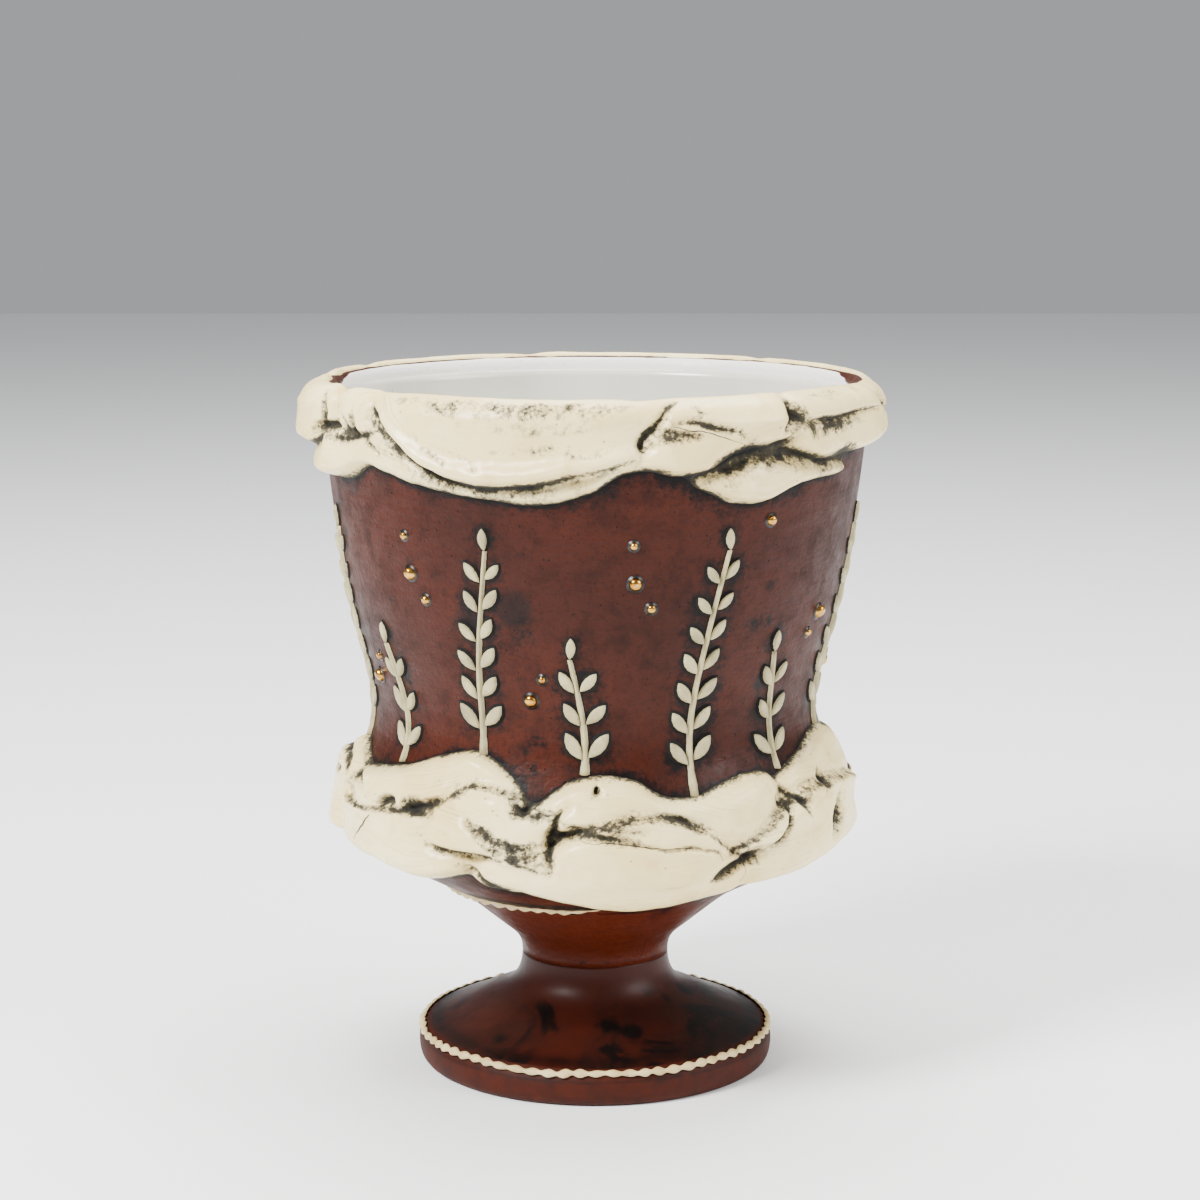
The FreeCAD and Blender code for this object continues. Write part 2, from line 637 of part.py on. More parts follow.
def overlap(shares, other_shares):
    """Whether two strips share bearings, also where one is written past the full turn."""
    start, end = shares[0][0], shares[-1][0]
    other_start, other_end = other_shares[0][0], other_shares[-1][0]
    return any(start < other_end + turn and other_start + turn < end for turn in (-360, 0, 360))


def large_pieces(shape):
    kept = [solid for solid in shape.Solids if solid.Volume > kept_piece_share * shape.Volume]
    return kept[0] if len(kept) == 1 else Part.makeCompound(kept)


def lay_strips(strips, stations_of, fold):
    """Shapes each strip, less the room of those that were laid over it."""
    reach = strip_room_reach_share * fold
    room = {
        label: faceted_solid([
            strip_room(bearing, low, high, reach) for bearing, low, high, _, _ in stations_of(shares)
        ])
        for label, shares in strips.items()
    }
    labels = list(strips)
    features = []
    for place, label in enumerate(labels):
        shape = faceted_solid([strip_section(*station) for station in stations_of(strips[label])])
        for other in labels[place + 1:]:
            if overlap(strips[label], strips[other]):
                shape = shape.cut(room[other])
        features.append(add_feature(label, large_pieces(shape)))
    return features


# Rows of slip dabs, one round the top edge of the foot and one round the belly

# A six-sided dab: shares of its length and of its width, then of both at its flat top.
dab_outline_shares = [(0.5, 0), (0.26, 0.5), (-0.26, 0.5), (-0.5, 0), (-0.26, -0.5), (0.26, -0.5)]
dab_length_share = 0.92
dab_top_share = 0.55
foot_dab_place_share = 0.12
belly_dab_rise_share = 0.5


def dab_row(label, curve, parameter, width, depth):
    """Dabs in a full turn on a profile, spaced as near the pitch as fits."""
    place = curve.value(parameter)
    along = curve.tangent(parameter)[0]
    outward = vector(along.y, -along.x, 0)
    if outward.x < 0:
        outward = -outward
    count = round(2 * math.pi * place.x / size("dab_pitch"))
    step = 360 / count
    length = math.radians(step) * place.x * dab_length_share
    dabs = []
    for turn in range(count):
        rings = []
        for lift, spread_share in ((size("relief_gap"), 1), (depth, dab_top_share)):
            ring = []
            for length_share, width_share in dab_outline_shares:
                spot = place + along * (width_share * spread_share * width) + outward * lift
                aside = math.degrees(length_share * spread_share * length / place.x)
                ring.append(around(turn * step + aside, spot.x, spot.y))
            rings.append(tuple(ring))
        dabs.append(faceted_solid(rings))
    return add_feature(label, Part.makeCompound(dabs))


# Leafy sprigs, tall and short by turns, and gilded beads among them

sprig_count = 14
first_sprig_bearing = -28
sprig_kinds_shares = {"tall_sprigs": (0.97, 0.1), "short_sprigs": (0.5, -0.12)}
stem_stations = 7
stem_top_share = 0.5
stem_taper_share = 0.5
first_leaf_share = 0.1
leaf_lean = 38
leaf_taper_share = 0.3
leaf_outline_shares = [(0, 0), (0.3, 0.42), (0.62, 0.5), (1, 0), (0.62, -0.5), (0.3, -0.42)]
leaf_inset_share = 0.6


def strip_edge_above(bearing):
    """The height that the shoulder strips reach at a bearing."""
    reached = 0
    for shares in shoulder_strips.values():
        stations = shoulder_stations(shares)
        for turn in (-360, 0, 360):
            for (start, _, start_high, *_), (end, _, end_high, *_) in zip(stations, stations[1:]):
                across = (bearing + turn - start) / (end - start)
                if 0 <= across <= 1:
                    reached = max(reached, start_high + across * (end_high - start_high))
    return reached


def ring_beside(bearing, height, outline, standing_out):
    """A ring on the wall from (sideways, upward) offsets around a place on it."""
    ring = []
    for sideways, upward in outline:
        middle = on_wall(bearing, height + upward, 0)
        radius = math.hypot(middle.x, middle.y)
        ring.append(on_wall(bearing + math.degrees(sideways / radius), height + upward, standing_out))
    return tuple(ring)


def raised(bearing, height, outline, inset_share):
    """A flat-topped relief on the wall, its top drawn in towards the outline's middle."""
    middle_x = sum(x for x, _ in outline) / len(outline)
    middle_y = sum(y for _, y in outline) / len(outline)
    drawn_in = [
        (middle_x + (x - middle_x) * inset_share, middle_y + (y - middle_y) * inset_share)
        for x, y in outline
    ]
    return faceted_solid([
        ring_beside(bearing, height, outline, size("relief_gap")),
        ring_beside(bearing, height, drawn_in, size("relief_depth")),
    ])


def leaf(bearing, height, start, lean, scale_share):
    """An almond leaf that leaves the stem at an offset and leans away from upright."""
    turn = math.radians(lean)
    outline = []
    for length_share, width_share in leaf_outline_shares:
        forward = length_share * size("leaf_length") * scale_share
        aside = width_share * size("leaf_width") * scale_share
        outline.append((
            start + forward * math.sin(turn) + aside * math.cos(turn),
            forward * math.cos(turn) - aside * math.sin(turn),
        ))
    return raised(bearing, height, outline, leaf_inset_share)


def sprig(bearing, height_share, sway_share):
    """A stem that sways to one side, with leaves in pairs and one at its tip."""
    low = strip_edge_above(bearing) + size("sprig_gap")
    free_top = size("cup_height") - size("rim_band") - size("sprig_gap") - size("leaf_length")
    rise = height_share * (free_top - low)
    radius = wall_curve.value(wall_parameter(low)).x

    def stem_place(share):
        return bearing + math.degrees(sway_share * rise * share ** 2 / radius), low + share * rise

    half = size("stem_width") / 2
    rings = []
    for station in range(stem_stations):
        share = station / (stem_stations - 1)
        here, height = stem_place(share)
        breadth = half * (1 - stem_taper_share * share)
        crest = breadth * stem_top_share
        foot_ring = ring_beside(here, height, [(-breadth, 0), (breadth, 0)], size("relief_gap"))
        crest_ring = ring_beside(here, height, [(crest, 0), (-crest, 0)], size("relief_depth"))
        rings.append(foot_ring + crest_ring)
    pieces = [faceted_solid(rings)]
    pairs = max(1, int(rise * (1 - first_leaf_share) / size("leaf_pitch")))
    for pair in range(pairs):
        share = first_leaf_share + (1 - first_leaf_share) * pair / pairs
        here, height = stem_place(share)
        scale_share = 1 - leaf_taper_share * share
        start = half + size("relief_gap")
        pieces.append(leaf(here, height, start, leaf_lean, scale_share))
        pieces.append(leaf(here, height, -start, -leaf_lean, scale_share))
    tip, height = stem_place(1)
    pieces.append(leaf(tip, height + size("relief_gap"), 0, 0, 1 - leaf_taper_share))
    return pieces


def sprigs():
    for place, (label, (height_share, sway_share)) in enumerate(sprig_kinds_shares.items()):
        pieces = []
        for turn in range(place, sprig_count, len(sprig_kinds_shares)):
            bearing = first_sprig_bearing + turn * 360 / sprig_count
            pieces += sprig(bearing, height_share, sway_share)
        add_feature(label, Part.makeCompound(pieces))


# Beads between the sprigs, in one gap after another: each is a share of the way to the
# next sprig, a share of the free wall and a share of the bead's radius.
bead_shares = [
    [(0.5, 0.22, 1), (0.62, 0.31, 0.6)],
    [(0.42, 0.7, 1), (0.56, 0.6, 0.7), (0.4, 0.85, 0.6)],
    [(0.6, 0.92, 0.8)],
    [(0.5, 0.5, 1), (0.38, 0.42, 0.6)],
]


def gold_beads():
    free_low = shoulder_band_low + size("shoulder_band")
    free_high = size("cup_height") - size("rim_band")
    beads = []
    for turn in range(sprig_count):
        for across_share, up_share, radius_share in bead_shares[turn % len(bead_shares)]:
            bearing = first_sprig_bearing + (turn + across_share) * 360 / sprig_count
            height = free_low + up_share * (free_high - free_low)
            centre, outward = off_wall(bearing, height, size("relief_gap"))
            radius = radius_share * size("bead_radius")
            beads.append(Part.makeSphere(radius, centre, outward, 0, 90, 360))
    return add_feature("gold_beads", Part.makeCompound(beads))


def build():
    bowl()
    liner_glaze()
    foot()
    doc.recompute()
    lay_strips(rim_strips, rim_stations, size("rim_fold"))
    lay_strips(shoulder_strips, shoulder_stations, size("shoulder_fold"))
    edge = smooth_curve([flat_point(place) for place in foot_edge_places])
    edge_span = edge.LastParameter - edge.FirstParameter
    dab_row(
        "foot_bead_trim", edge, edge.FirstParameter + foot_dab_place_share * edge_span,
        size("foot_dab_width"), size("foot_dab_depth"),
    )
    belly_dab_height = size("belly_height") + belly_dab_rise_share * size("belly_dab_width")
    dab_row(
        "belly_bead_trim", wall_curve, wall_parameter(belly_dab_height),
        size("belly_dab_width"), size("belly_dab_depth"),
    )
    sprigs()
    gold_beads()
    doc.recompute()


def is_node(item):
    return item.TypeId in ("PartDesign::Body", "Part::Feature")


def check_and_write():
    """Stops on any failed or empty shape, then writes each piece under its label."""
    os.makedirs("parts", exist_ok=True)
    for item in doc.Objects:
        if "Invalid" in item.State or "Error" in item.State:
            raise RuntimeError(f"{item.Label}: {item.State}")
    for item in filter(is_node, doc.Objects):
        if item.Shape.isNull() or not item.Shape.isValid() or not item.Shape.Solids:
            raise RuntimeError(f"{item.Label}: no valid shape")
        item.Shape.exportStep(f"parts/{item.Label}.step")
        print(item.Label, len(item.Shape.Solids))


build()
check_and_write()
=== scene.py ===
import math

import bpy
import numpy as np
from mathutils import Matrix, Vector


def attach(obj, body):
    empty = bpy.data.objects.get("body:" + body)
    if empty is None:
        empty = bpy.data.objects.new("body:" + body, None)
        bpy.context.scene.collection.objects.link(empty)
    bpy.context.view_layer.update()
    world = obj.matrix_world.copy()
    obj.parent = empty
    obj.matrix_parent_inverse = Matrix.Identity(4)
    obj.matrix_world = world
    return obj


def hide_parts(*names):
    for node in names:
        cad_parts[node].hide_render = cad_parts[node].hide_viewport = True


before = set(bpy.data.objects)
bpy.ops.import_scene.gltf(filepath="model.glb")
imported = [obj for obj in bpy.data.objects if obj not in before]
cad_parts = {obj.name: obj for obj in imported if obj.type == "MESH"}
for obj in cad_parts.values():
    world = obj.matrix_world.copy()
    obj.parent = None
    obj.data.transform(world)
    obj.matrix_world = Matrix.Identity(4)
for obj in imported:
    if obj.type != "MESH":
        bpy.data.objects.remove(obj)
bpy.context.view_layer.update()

mm = 0.001
rng = np.random.RandomState(7)


def pickOnly(piece=None):
    bpy.ops.object.select_all(action="DESELECT")
    if piece:
        piece.select_set(True)
        bpy.context.view_layer.objects.active = piece


def smoothStep(x):
    x = np.clip(x, 0, 1)
    return x * x * (3 - 2 * x)


def curvePoints(poles, count):
    # a clamped cubic through its end poles, as the thrown profiles are drawn
    last = len(poles) - 3
    knots = np.concatenate([[0] * 3, np.arange(last + 1), [last] * 3]).astype(float)
    t = np.linspace(0, last, count)
    t[-1] -= 1e-9
    basis = ((knots[None, :-1] <= t[:, None]) & (t[:, None] < knots[None, 1:])).astype(float)
    for degree in (1, 2, 3):
        raised = np.zeros((count, basis.shape[1] - 1))
        for i in range(basis.shape[1] - 1):
            rise, fall = knots[i + degree] - knots[i], knots[i + degree + 1] - knots[i + 1]
            if rise > 0:
                raised[:, i] += (t - knots[i]) / rise * basis[:, i]
            if fall > 0:
                raised[:, i] += (knots[i + degree + 1] - t) / fall * basis[:, i + 1]
        basis = raised
    return basis @ np.array(poles, float)


def lengthAlong(points):
    return np.concatenate([[0], np.cumsum(np.hypot(*np.diff(points, axis=0).T))])


def evenly(points, step):
    # the same line with its points a step apart
    along = lengthAlong(points)
    at = np.linspace(0, along[-1], max(2, int(round(along[-1] / step)) + 1))
    return np.stack([np.interp(at, along, axis) for axis in points.T], axis=1)


def smoothTable(x, rows):
    # every column of a table, read at x with rounded bends
    rows = np.array(rows, float)
    xs = rows[:, 0]
    slopes = np.gradient(rows[:, 1:], xs, axis=0)
    i = np.clip(np.searchsorted(xs, x) - 1, 0, len(xs) - 2)
    h = (xs[i + 1] - xs[i])[:, None]
    t = np.clip((x - xs[i])[:, None] / h, 0, 1)
    a, b = rows[i, 1:], rows[i + 1, 1:]
    return ((2 * t**3 - 3 * t**2 + 1) * a + (t**3 - 2 * t**2 + t) * h * slopes[i]
            + (3 * t**2 - 2 * t**3) * b + (t**3 - t**2) * h * slopes[i + 1]).T


def cloud(s, t, size, seed):
    # soft value noise from -1 to 1 that closes round the cup; s is in degrees, t in mm
    cells, layers = max(3, int(round(290 / size))), 97
    table = np.random.RandomState(seed).uniform(-1, 1, (cells, layers))
    x, y = np.broadcast_arrays((np.asarray(s) % 360) / 360 * cells, np.asarray(t) / size + 40)
    i, j = np.floor(x).astype(int), np.floor(y).astype(int)
    u, v = smoothStep(x - i), smoothStep(y - j)
    pick = lambda a, b: table[a % cells, b % layers]
    low = pick(i, j) * (1 - u) + pick(i + 1, j) * u
    high = pick(i, j + 1) * (1 - u) + pick(i + 1, j + 1) * u
    return low * (1 - v) + high * v


def around(bearing, radius, height):
    turn = np.radians(bearing)
    return np.stack(np.broadcast_arrays(radius * np.sin(turn), -radius * np.cos(turn), height), axis=-1)


# the thrown bowl, (radius, height) in mm
cup = {
    "outside": [(13.6, 20), (13.6, 23), (16.9, 25.6), (22.2, 30.1), (27.4, 34.4), (35.88, 38.3), (44.38, 44.39),
                (43.8, 51), (44.39, 56.95), (40.83, 63.24), (40.22, 70.82), (42.56, 79.28), (45.59, 90.56),
                (47.8, 105.22), (49.25, 117.63), (49.8, 124.4)],
    "inside": [(46.3, 124.4), (45.75, 117.63), (44.3, 105.22), (42.09, 90.56), (39.06, 79.28), (36.72, 70.82),
               (37.33, 63.24), (40.89, 56.95), (40.3, 51), (40.88, 45.44), (33.26, 41.1), (26.25, 35.35),
               (16.06, 30.43), (7.77, 30), (0, 30)],
    "coat": [(45.8, 124.4), (45.25, 117.63), (43.8, 105.22), (41.59, 90.56), (38.56, 79.28), (36.22, 70.82),
             (36.83, 63.24), (40.39, 56.95), (39.8, 51), (40.37, 45.94), (32.84, 41.6), (25.92, 35.85),
             (15.86, 30.93), (7.67, 30.5), (0, 30.5)],
    "lipRoll": [(49.8, 124.4), (49.8, 127.87), (46.3, 127.87), (46.3, 124.4)],
    "lip": (124.4, 48.05, 1.75, 2.6),  # where the roll starts, its middle, half its width and its rise
    "bottom": 20, "steps": 530, "wallStep": 0.85, "lipStep": 0.7, "coatSteps": 320, "coatStep": 1.3,
    "bellyLines": (35.9, 34), "luting": 21.2,  # heights of the black lines by the belly's slip and on the stem
}
lipFrom, lipMiddle, lipHalf, lipRise = cup["lip"]
wallLine = curvePoints(cup["outside"], 1500)
lipLine = curvePoints(cup["lipRoll"], 60)
lipEnd = lipFrom + lengthAlong(lipLine)[-1]


def wallRadius(height):
    return np.interp(height, wallLine[:, 1], wallLine[:, 0])


def wallPlace(v, depth):
    # a point off the wall: outwards below the lip, square to the roll over the lip
    over = np.clip((v - lipFrom) / (lipEnd - lipFrom), 0, 1) * math.pi
    low = v < lipFrom
    radius = np.where(low, wallRadius(v) + depth, lipMiddle + lipHalf * np.cos(over) + depth * np.cos(over))
    return radius, np.where(low, v, lipFrom + lipRise * np.sin(over) + depth * np.sin(over))


# the folded clay strips: a row is bearing, the two edges, thickness of the low roll and of the high edge;
# edges are shares of the band, counted down from the lip at the rim and upwards at the shoulder
clayRadius = 46.0  # widths along the clay are measured here
buried, farAway = -0.9, 99.0  # depth where there is no clay yet, and a distance beyond all clay
# how hands pressed the clay: share, size and seed
handPresses = ((0.16, 6, 5), (0.07, 2.2, 6), (0.025, 0.9, 8))

# across a strip from its low edge to its high one: share of its thickness
sheetProfile = [(0, 1.02), (0.1, 1.1), (0.3, 1), (0.58, 0.88), (0.84, 0.95), (1, 0.9)]
swagProfile = [(0, 1), (0.07, 1.08), (0.15, 1), (0.25, 0.66), (0.45, 0.52), (0.75, 0.62), (1, 0.9)]

rimDrape = {
    "start": 127, "band": -17.5, "fold": 3.7, "low": 105, "high": lipEnd, "step": 0.34, "columns": 880,
    # how far the clay comes over the lip, by bearing from the back
    "lipCover": [(0, 60, 95, 103, 112, 122, 180, 236, 246, 262, 285, 330, 360),
                 (128.6, 128.9, 128.6, 127.2, 127.4, 129.3, 129.6, 129.3, 128, 127.6, 128.5, 128.9, 128.6)],
    "strips": {
        "rim_strip_front": {"rows": [
            (-74, 0.42, 0.70, 0.5, 0.5), (-70, 0.34, 0.84, 1.1, 1), (-64, 0.32, 0.88, 1.35, 1.3),
            (-58, 0.36, 0.84, 1.1, 1), (-52, 0.3, 0.70, 0.7, 0.6), (-46, 0.2, 0.76, 0.6, 0.5),
            (-38, 0.34, 0.85, 0.6, 0.5), (-30, 0.62, 0.91, 0.6, 0.5), (-22, 0.7, 0.95, 0.6, 0.5),
            (-14, 0.7, 0.99, 0.6, 0.5), (-7, 0.64, 0.95, 0.6, 0.5), (0, 0.56, 0.82, 0.6, 0.5),
            (6, 0.46, 0.66, 0.65, 0.55), (12, 0.4, 0.63, 0.65, 0.55), (19, 0.38, 0.64, 0.5, 0.4)],
            "ends": (1.5, 3), "smear": 0.5},
        "rim_lobe_right": {"rows": [
            (17, 0.62, 0.78, 0.35, 0.3), (22, 0.5, 0.86, 0.8, 0.6), (28, 0.42, 0.99, 1, 0.7),
            (35, 0.42, 1, 1.05, 0.7), (42, 0.46, 0.9, 1, 0.65), (49, 0.5, 0.86, 0.9, 0.6),
            (57, 0.54, 0.84, 0.75, 0.5), (64, 0.58, 0.78, 0.4, 0.3)]},
        "rim_lobe_back_right": {"rows": [
            (122, 0.5, 0.76, 0.35, 0.3), (129, 0.48, 0.9, 0.8, 0.6), (137, 0.46, 1, 1, 0.7),
            (145, 0.46, 0.98, 1, 0.65), (153, 0.5, 0.86, 0.8, 0.5), (160, 0.56, 0.76, 0.35, 0.3)]},
        "rim_lobe_back_left": {"rows": [
            (228, 0.48, 0.72, 0.4, 0.3), (235, 0.46, 0.88, 0.8, 0.6), (243, 0.44, 0.98, 1, 0.7),
            (251, 0.46, 0.95, 1, 0.65), (259, 0.5, 0.84, 0.8, 0.5), (266, 0.56, 0.74, 0.35, 0.3)]},
        "rim_tab_left": {"rows": [
            (-64, 0, 0.42, 0.4, 0.4), (-58, -0.01, 0.46, 0.6, 0.6), (-52, -0.01, 0.4, 0.6, 0.6),
            (-46, 0, 0.32, 0.4, 0.4)], "ends": (5, 3)},
        "rim_fold_left": {"rows": [
            (240, 0.04, 0.44, 0.4, 0.4), (247, 0, 0.56, 0.9, 0.7), (255, 0, 0.66, 1, 0.8),
            (262, 0, 0.6, 0.95, 0.8), (268, 0.04, 0.48, 0.5, 0.4)]},
        "rim_swag_back_left": {"rows": [
            (193, 0.04, 0.4, 0.4, 0.4), (201, 0, 0.58, 0.85, 0.65), (210, 0, 0.72, 1, 0.7),
            (220, 0, 0.82, 1.05, 0.65), (230, 0, 0.76, 1, 0.65), (238, 0, 0.6, 0.9, 0.7),
            (245, 0.03, 0.44, 0.45, 0.4)], "profile": swagProfile},
        "rim_swag_back": {"rows": [
            (136, 0.04, 0.44, 0.4, 0.4), (143, 0, 0.6, 0.8, 0.6), (152, 0, 0.76, 1, 0.65),
            (162, 0, 0.88, 1.1, 0.65), (172, 0, 0.93, 1.1, 0.6), (182, 0, 0.86, 1.05, 0.65),
            (191, 0, 0.7, 0.95, 0.7), (198, 0.04, 0.5, 0.5, 0.4)], "profile": swagProfile},
        "rim_swag_back_right": {"rows": [
            (84, 0.02, 0.46, 0.4, 0.4), (91, 0, 0.62, 0.9, 0.7), (100, 0, 0.78, 1.05, 0.7),
            (110, 0, 0.88, 1.1, 0.65), (120, 0, 0.84, 1.05, 0.65), (129, 0, 0.72, 1, 0.7),
            (137, 0.02, 0.56, 0.7, 0.6), (142, 0.06, 0.4, 0.4, 0.4)], "profile": swagProfile},
        "rim_fold_right": {"rows": [
            (37, 0.04, 0.46, 0.4, 0.4), (42, 0, 0.52, 0.9, 0.8), (49, -0.01, 0.62, 1, 0.85),
            (57, -0.01, 0.64, 1.05, 0.9), (66, -0.01, 0.62, 1.1, 0.9), (75, -0.01, 0.57, 1.1, 0.95),
            (83, 0, 0.52, 1, 0.85), (90, 0.03, 0.44, 0.6, 0.5)], "smear": 0.8, "reach": 2.4, "ends": (4, 6)},
        "rim_fold_mid": {"rows": [
            (5, 0.1, 0.54, 0.4, 0.4), (10, 0.02, 0.62, 0.8, 0.6), (16, 0, 0.7, 0.95, 0.65),
            (22, 0, 0.66, 1, 0.7), (28, 0, 0.52, 1.05, 0.75), (34, 0, 0.45, 1.05, 0.8),
            (39, 0.02, 0.42, 0.9, 0.7), (42, 0.06, 0.38, 0.4, 0.4)], "smear": 1, "reach": 2.6,
            "ends": (9, 3)},
        "rim_swag_front": {"rows": [
            (-49, 0, 0.12, 0.35, 0.5), (-44, 0, 0.30, 0.7, 0.6), (-38, 0, 0.53, 0.9, 0.7),
            (-32, 0, 0.70, 1, 0.7), (-25, 0, 0.81, 1.05, 0.65), (-18, 0, 0.81, 1.05, 0.6),
            (-11, 0, 0.78, 1.05, 0.6), (-4, 0, 0.69, 1, 0.65), (3, 0, 0.61, 0.95, 0.7),
            (9, 0, 0.50, 0.8, 0.75), (14, 0, 0.30, 0.5, 0.6)], "profile": swagProfile, "smear": 1,
            "reach": 1.9, "ends": (1.5, 9), "ink": [(-49, 1), (-20, 1), (-8, 0.8), (-3, 0.6), (2, 0.1), (14, 0)]},
        "rim_knob_left": {"rows": [
            (-94, 0.05, 0.45, 0.5, 0.4), (-88, -0.02, 0.56, 1.1, 1), (-80, -0.05, 0.62, 1.35, 1.2),
            (-72, -0.04, 0.58, 1.3, 1.2), (-65, 0, 0.5, 0.9, 0.9), (-61, 0.06, 0.4, 0.4, 0.4)],
            "ends": (6, 2)},
    },
    # strokes: bearing and height along each, then width, depth, stain, spread of the stain,
    # the side it spreads to (1 above, -1 below, 0 both) and how broken the stain is
    "strokes": [
        ([(16.4, 126.9), (13, 124.7), (10.2, 122.4), (8.4, 120.3), (8.9, 119.3), (10.6, 119.4)],
         0.9, 1.5, 1, 0.6, 0, 0.2),
        ([(12.8, 124), (18.9, 123.5), (25, 122.6), (29.4, 121.3)], 0.7, 0.5, 1, 0.5, 0, 0.4),
        ([(11, 122.8), (15.4, 122.3), (21.1, 121.4)], 0.8, 0.5, 1, 0.8, 0, 0.7),
        ([(10.4, 121.5), (14, 121.2), (18.4, 120.8)], 0.8, 0.4, 1, 0.7, 0, 0.8),
        ([(21, 115.6), (25, 117.7), (30, 118.8), (36, 118.8), (42, 117.4), (48, 115.8)],
         2.2, 1.4, 1, 2, -1, 0.3),
        ([(23.4, 115.4), (27, 116.4), (31.5, 117.2)], 1.8, 0.8, 1, 1.7, 0, 0.4),
        ([(49, 115.8), (54, 116.4), (59, 116.2), (62, 115.5)], 1.8, 1.2, 1, 1.7, 0, 0.4),
        ([(30, 117.6), (36, 117.4), (42, 116)], 1.4, 0.4, 1, 1.3, 0, 0.6),
        ([(39.9, 126), (39.9, 124.6), (38.9, 123), (37.2, 121.4)], 1, 1.3, 1, 1, 0, 0.3),
        ([(40.6, 125.6), (41.4, 124.2), (43.2, 122.8)], 1.2, 0.4, 1, 1.2, 0, 0.7),
        ([(39.2, 124.3), (45.7, 123), (53.5, 122.9), (63.8, 123.3), (73, 123.5)], 0.8, 0.9, 0.95, 0.4, 0, 0.25),
        ([(38.2, 122.2), (44, 121.6), (52, 121.6), (61, 121.8)], 1.6, 0.2, 0.85, 1.3, 0, 1),
        ([(-50, 123.6), (-45, 120.6), (-38, 116.9), (-32, 114.4), (-26, 112.6)], 0.9, 0.5, 1, 0.8, -1, 0.5),
        ([(-58, 122.6), (-55, 120.6), (-52, 120.2)], 1.2, 0.9, 1, 1.2, 0, 0.5),
        ([(-69.3, 119.4), (-66, 120.4), (-61.5, 120.9), (-57.6, 120.8)], 1, 1, 1, 1, 0, 0.6),
        ([(-54, 124.2), (-53.1, 121.4), (-53.6, 118.9)], 0.7, 1.2, 1, 0.6, 0, 0.2),
        ([(-52.8, 120.4), (-49, 118.6), (-45, 117)], 0.6, 0.4, 0.9, 0.4, 0, 0.6),
        ([(-66.2, 126), (-64.6, 123.4), (-64.9, 121), (-67, 119)], 0.6, 0.8, 0.9, 0.4, 0, 0.4),
        ([(-38.5, 121.5), (-31, 117.8), (-23, 115.3)], 0.5, 0.05, 0.42, 0.5, 0, 1),
        ([(-34, 121), (-27, 118), (-20.5, 116.4)], 0.5, 0.05, 0.3, 0.35, 0, 1),
        ([(-24, 116.4), (-21.8, 115.6)], 0.6, 0.25, 0.7, 0.35, 0, 0.8),
        ([(-21, 118.6), (-11, 119.4), (-1, 119), (6, 120.2)], 0.8, 0.05, 0.36, 0.9, 0, 1),
        ([(-30, 123.6), (-14, 122.6), (2, 123.2)], 1.2, 0, 0.22, 1.4, 0, 1),
        ([(-44, 125.9), (-24, 125.4), (-4, 125.8), (8, 126.2)], 1.2, 0, 0.5, 1.3, 0, 1),
        ([(17, 125.6), (21, 124.4), (24, 122.6)], 0.5, 0.25, 0.45, 0.3, 0, 0.8),
        ([(21, 123.8), (27, 122), (33, 120.4)], 0.8, 0.05, 0.4, 0.8, 0, 1),
        ([(44, 125.6), (54, 126), (66, 125.8)], 1.4, 0, 0.3, 1, 0, 1),
        ([(72, 125), (78, 122.8), (84, 121.4)], 0.9, 0.8, 0.9, 0.7, 0, 0.6),
        ([(92, 123.4), (98, 120.4), (106, 117.6), (118, 115.9), (128, 117.4)], 1, 1.1, 0.85, 0.9, 1, 0.6),
        ([(98, 124.2), (110, 121.2), (124, 121.6)], 0.6, 0.1, 0.4, 0.6, 0, 1),
        ([(134, 123.4), (137, 121), (141, 119.4)], 0.9, 1.1, 1, 0.8, 0, 0.4),
        ([(146, 124), (152, 120.8), (161, 117.2), (173, 115.2), (184, 117)], 1, 1.2, 0.9, 1, 1, 0.6),
        ([(166, 123.8), (176, 121.8), (188, 121.2), (195, 119.2)], 0.9, 0.9, 0.7, 0.8, -1, 0.8),
        ([(158, 123.6), (172, 121.4), (186, 122.4)], 0.6, 0.1, 0.36, 0.7, 0, 1),
        ([(194, 124.6), (196, 122), (199, 119.6)], 0.9, 1.1, 1, 0.8, 0, 0.4),
        ([(203, 123.2), (209, 119.4), (219, 116.4), (230, 117.4)], 1, 1.1, 0.85, 0.9, 1, 0.6),
        ([(216, 123.6), (226, 121.6), (238, 121.8)], 0.9, 0.7, 0.6, 0.8, 0, 0.9),
        ([(258, 123.4), (264, 121.2), (270, 121.6)], 0.9, 0.9, 0.9, 0.8, 0, 0.6),
        ([(240, 124.8), (244, 121.6), (251, 120.4), (258, 120.8)], 0.9, 0.9, 0.95, 0.7, 0, 0.5),
    ],
}


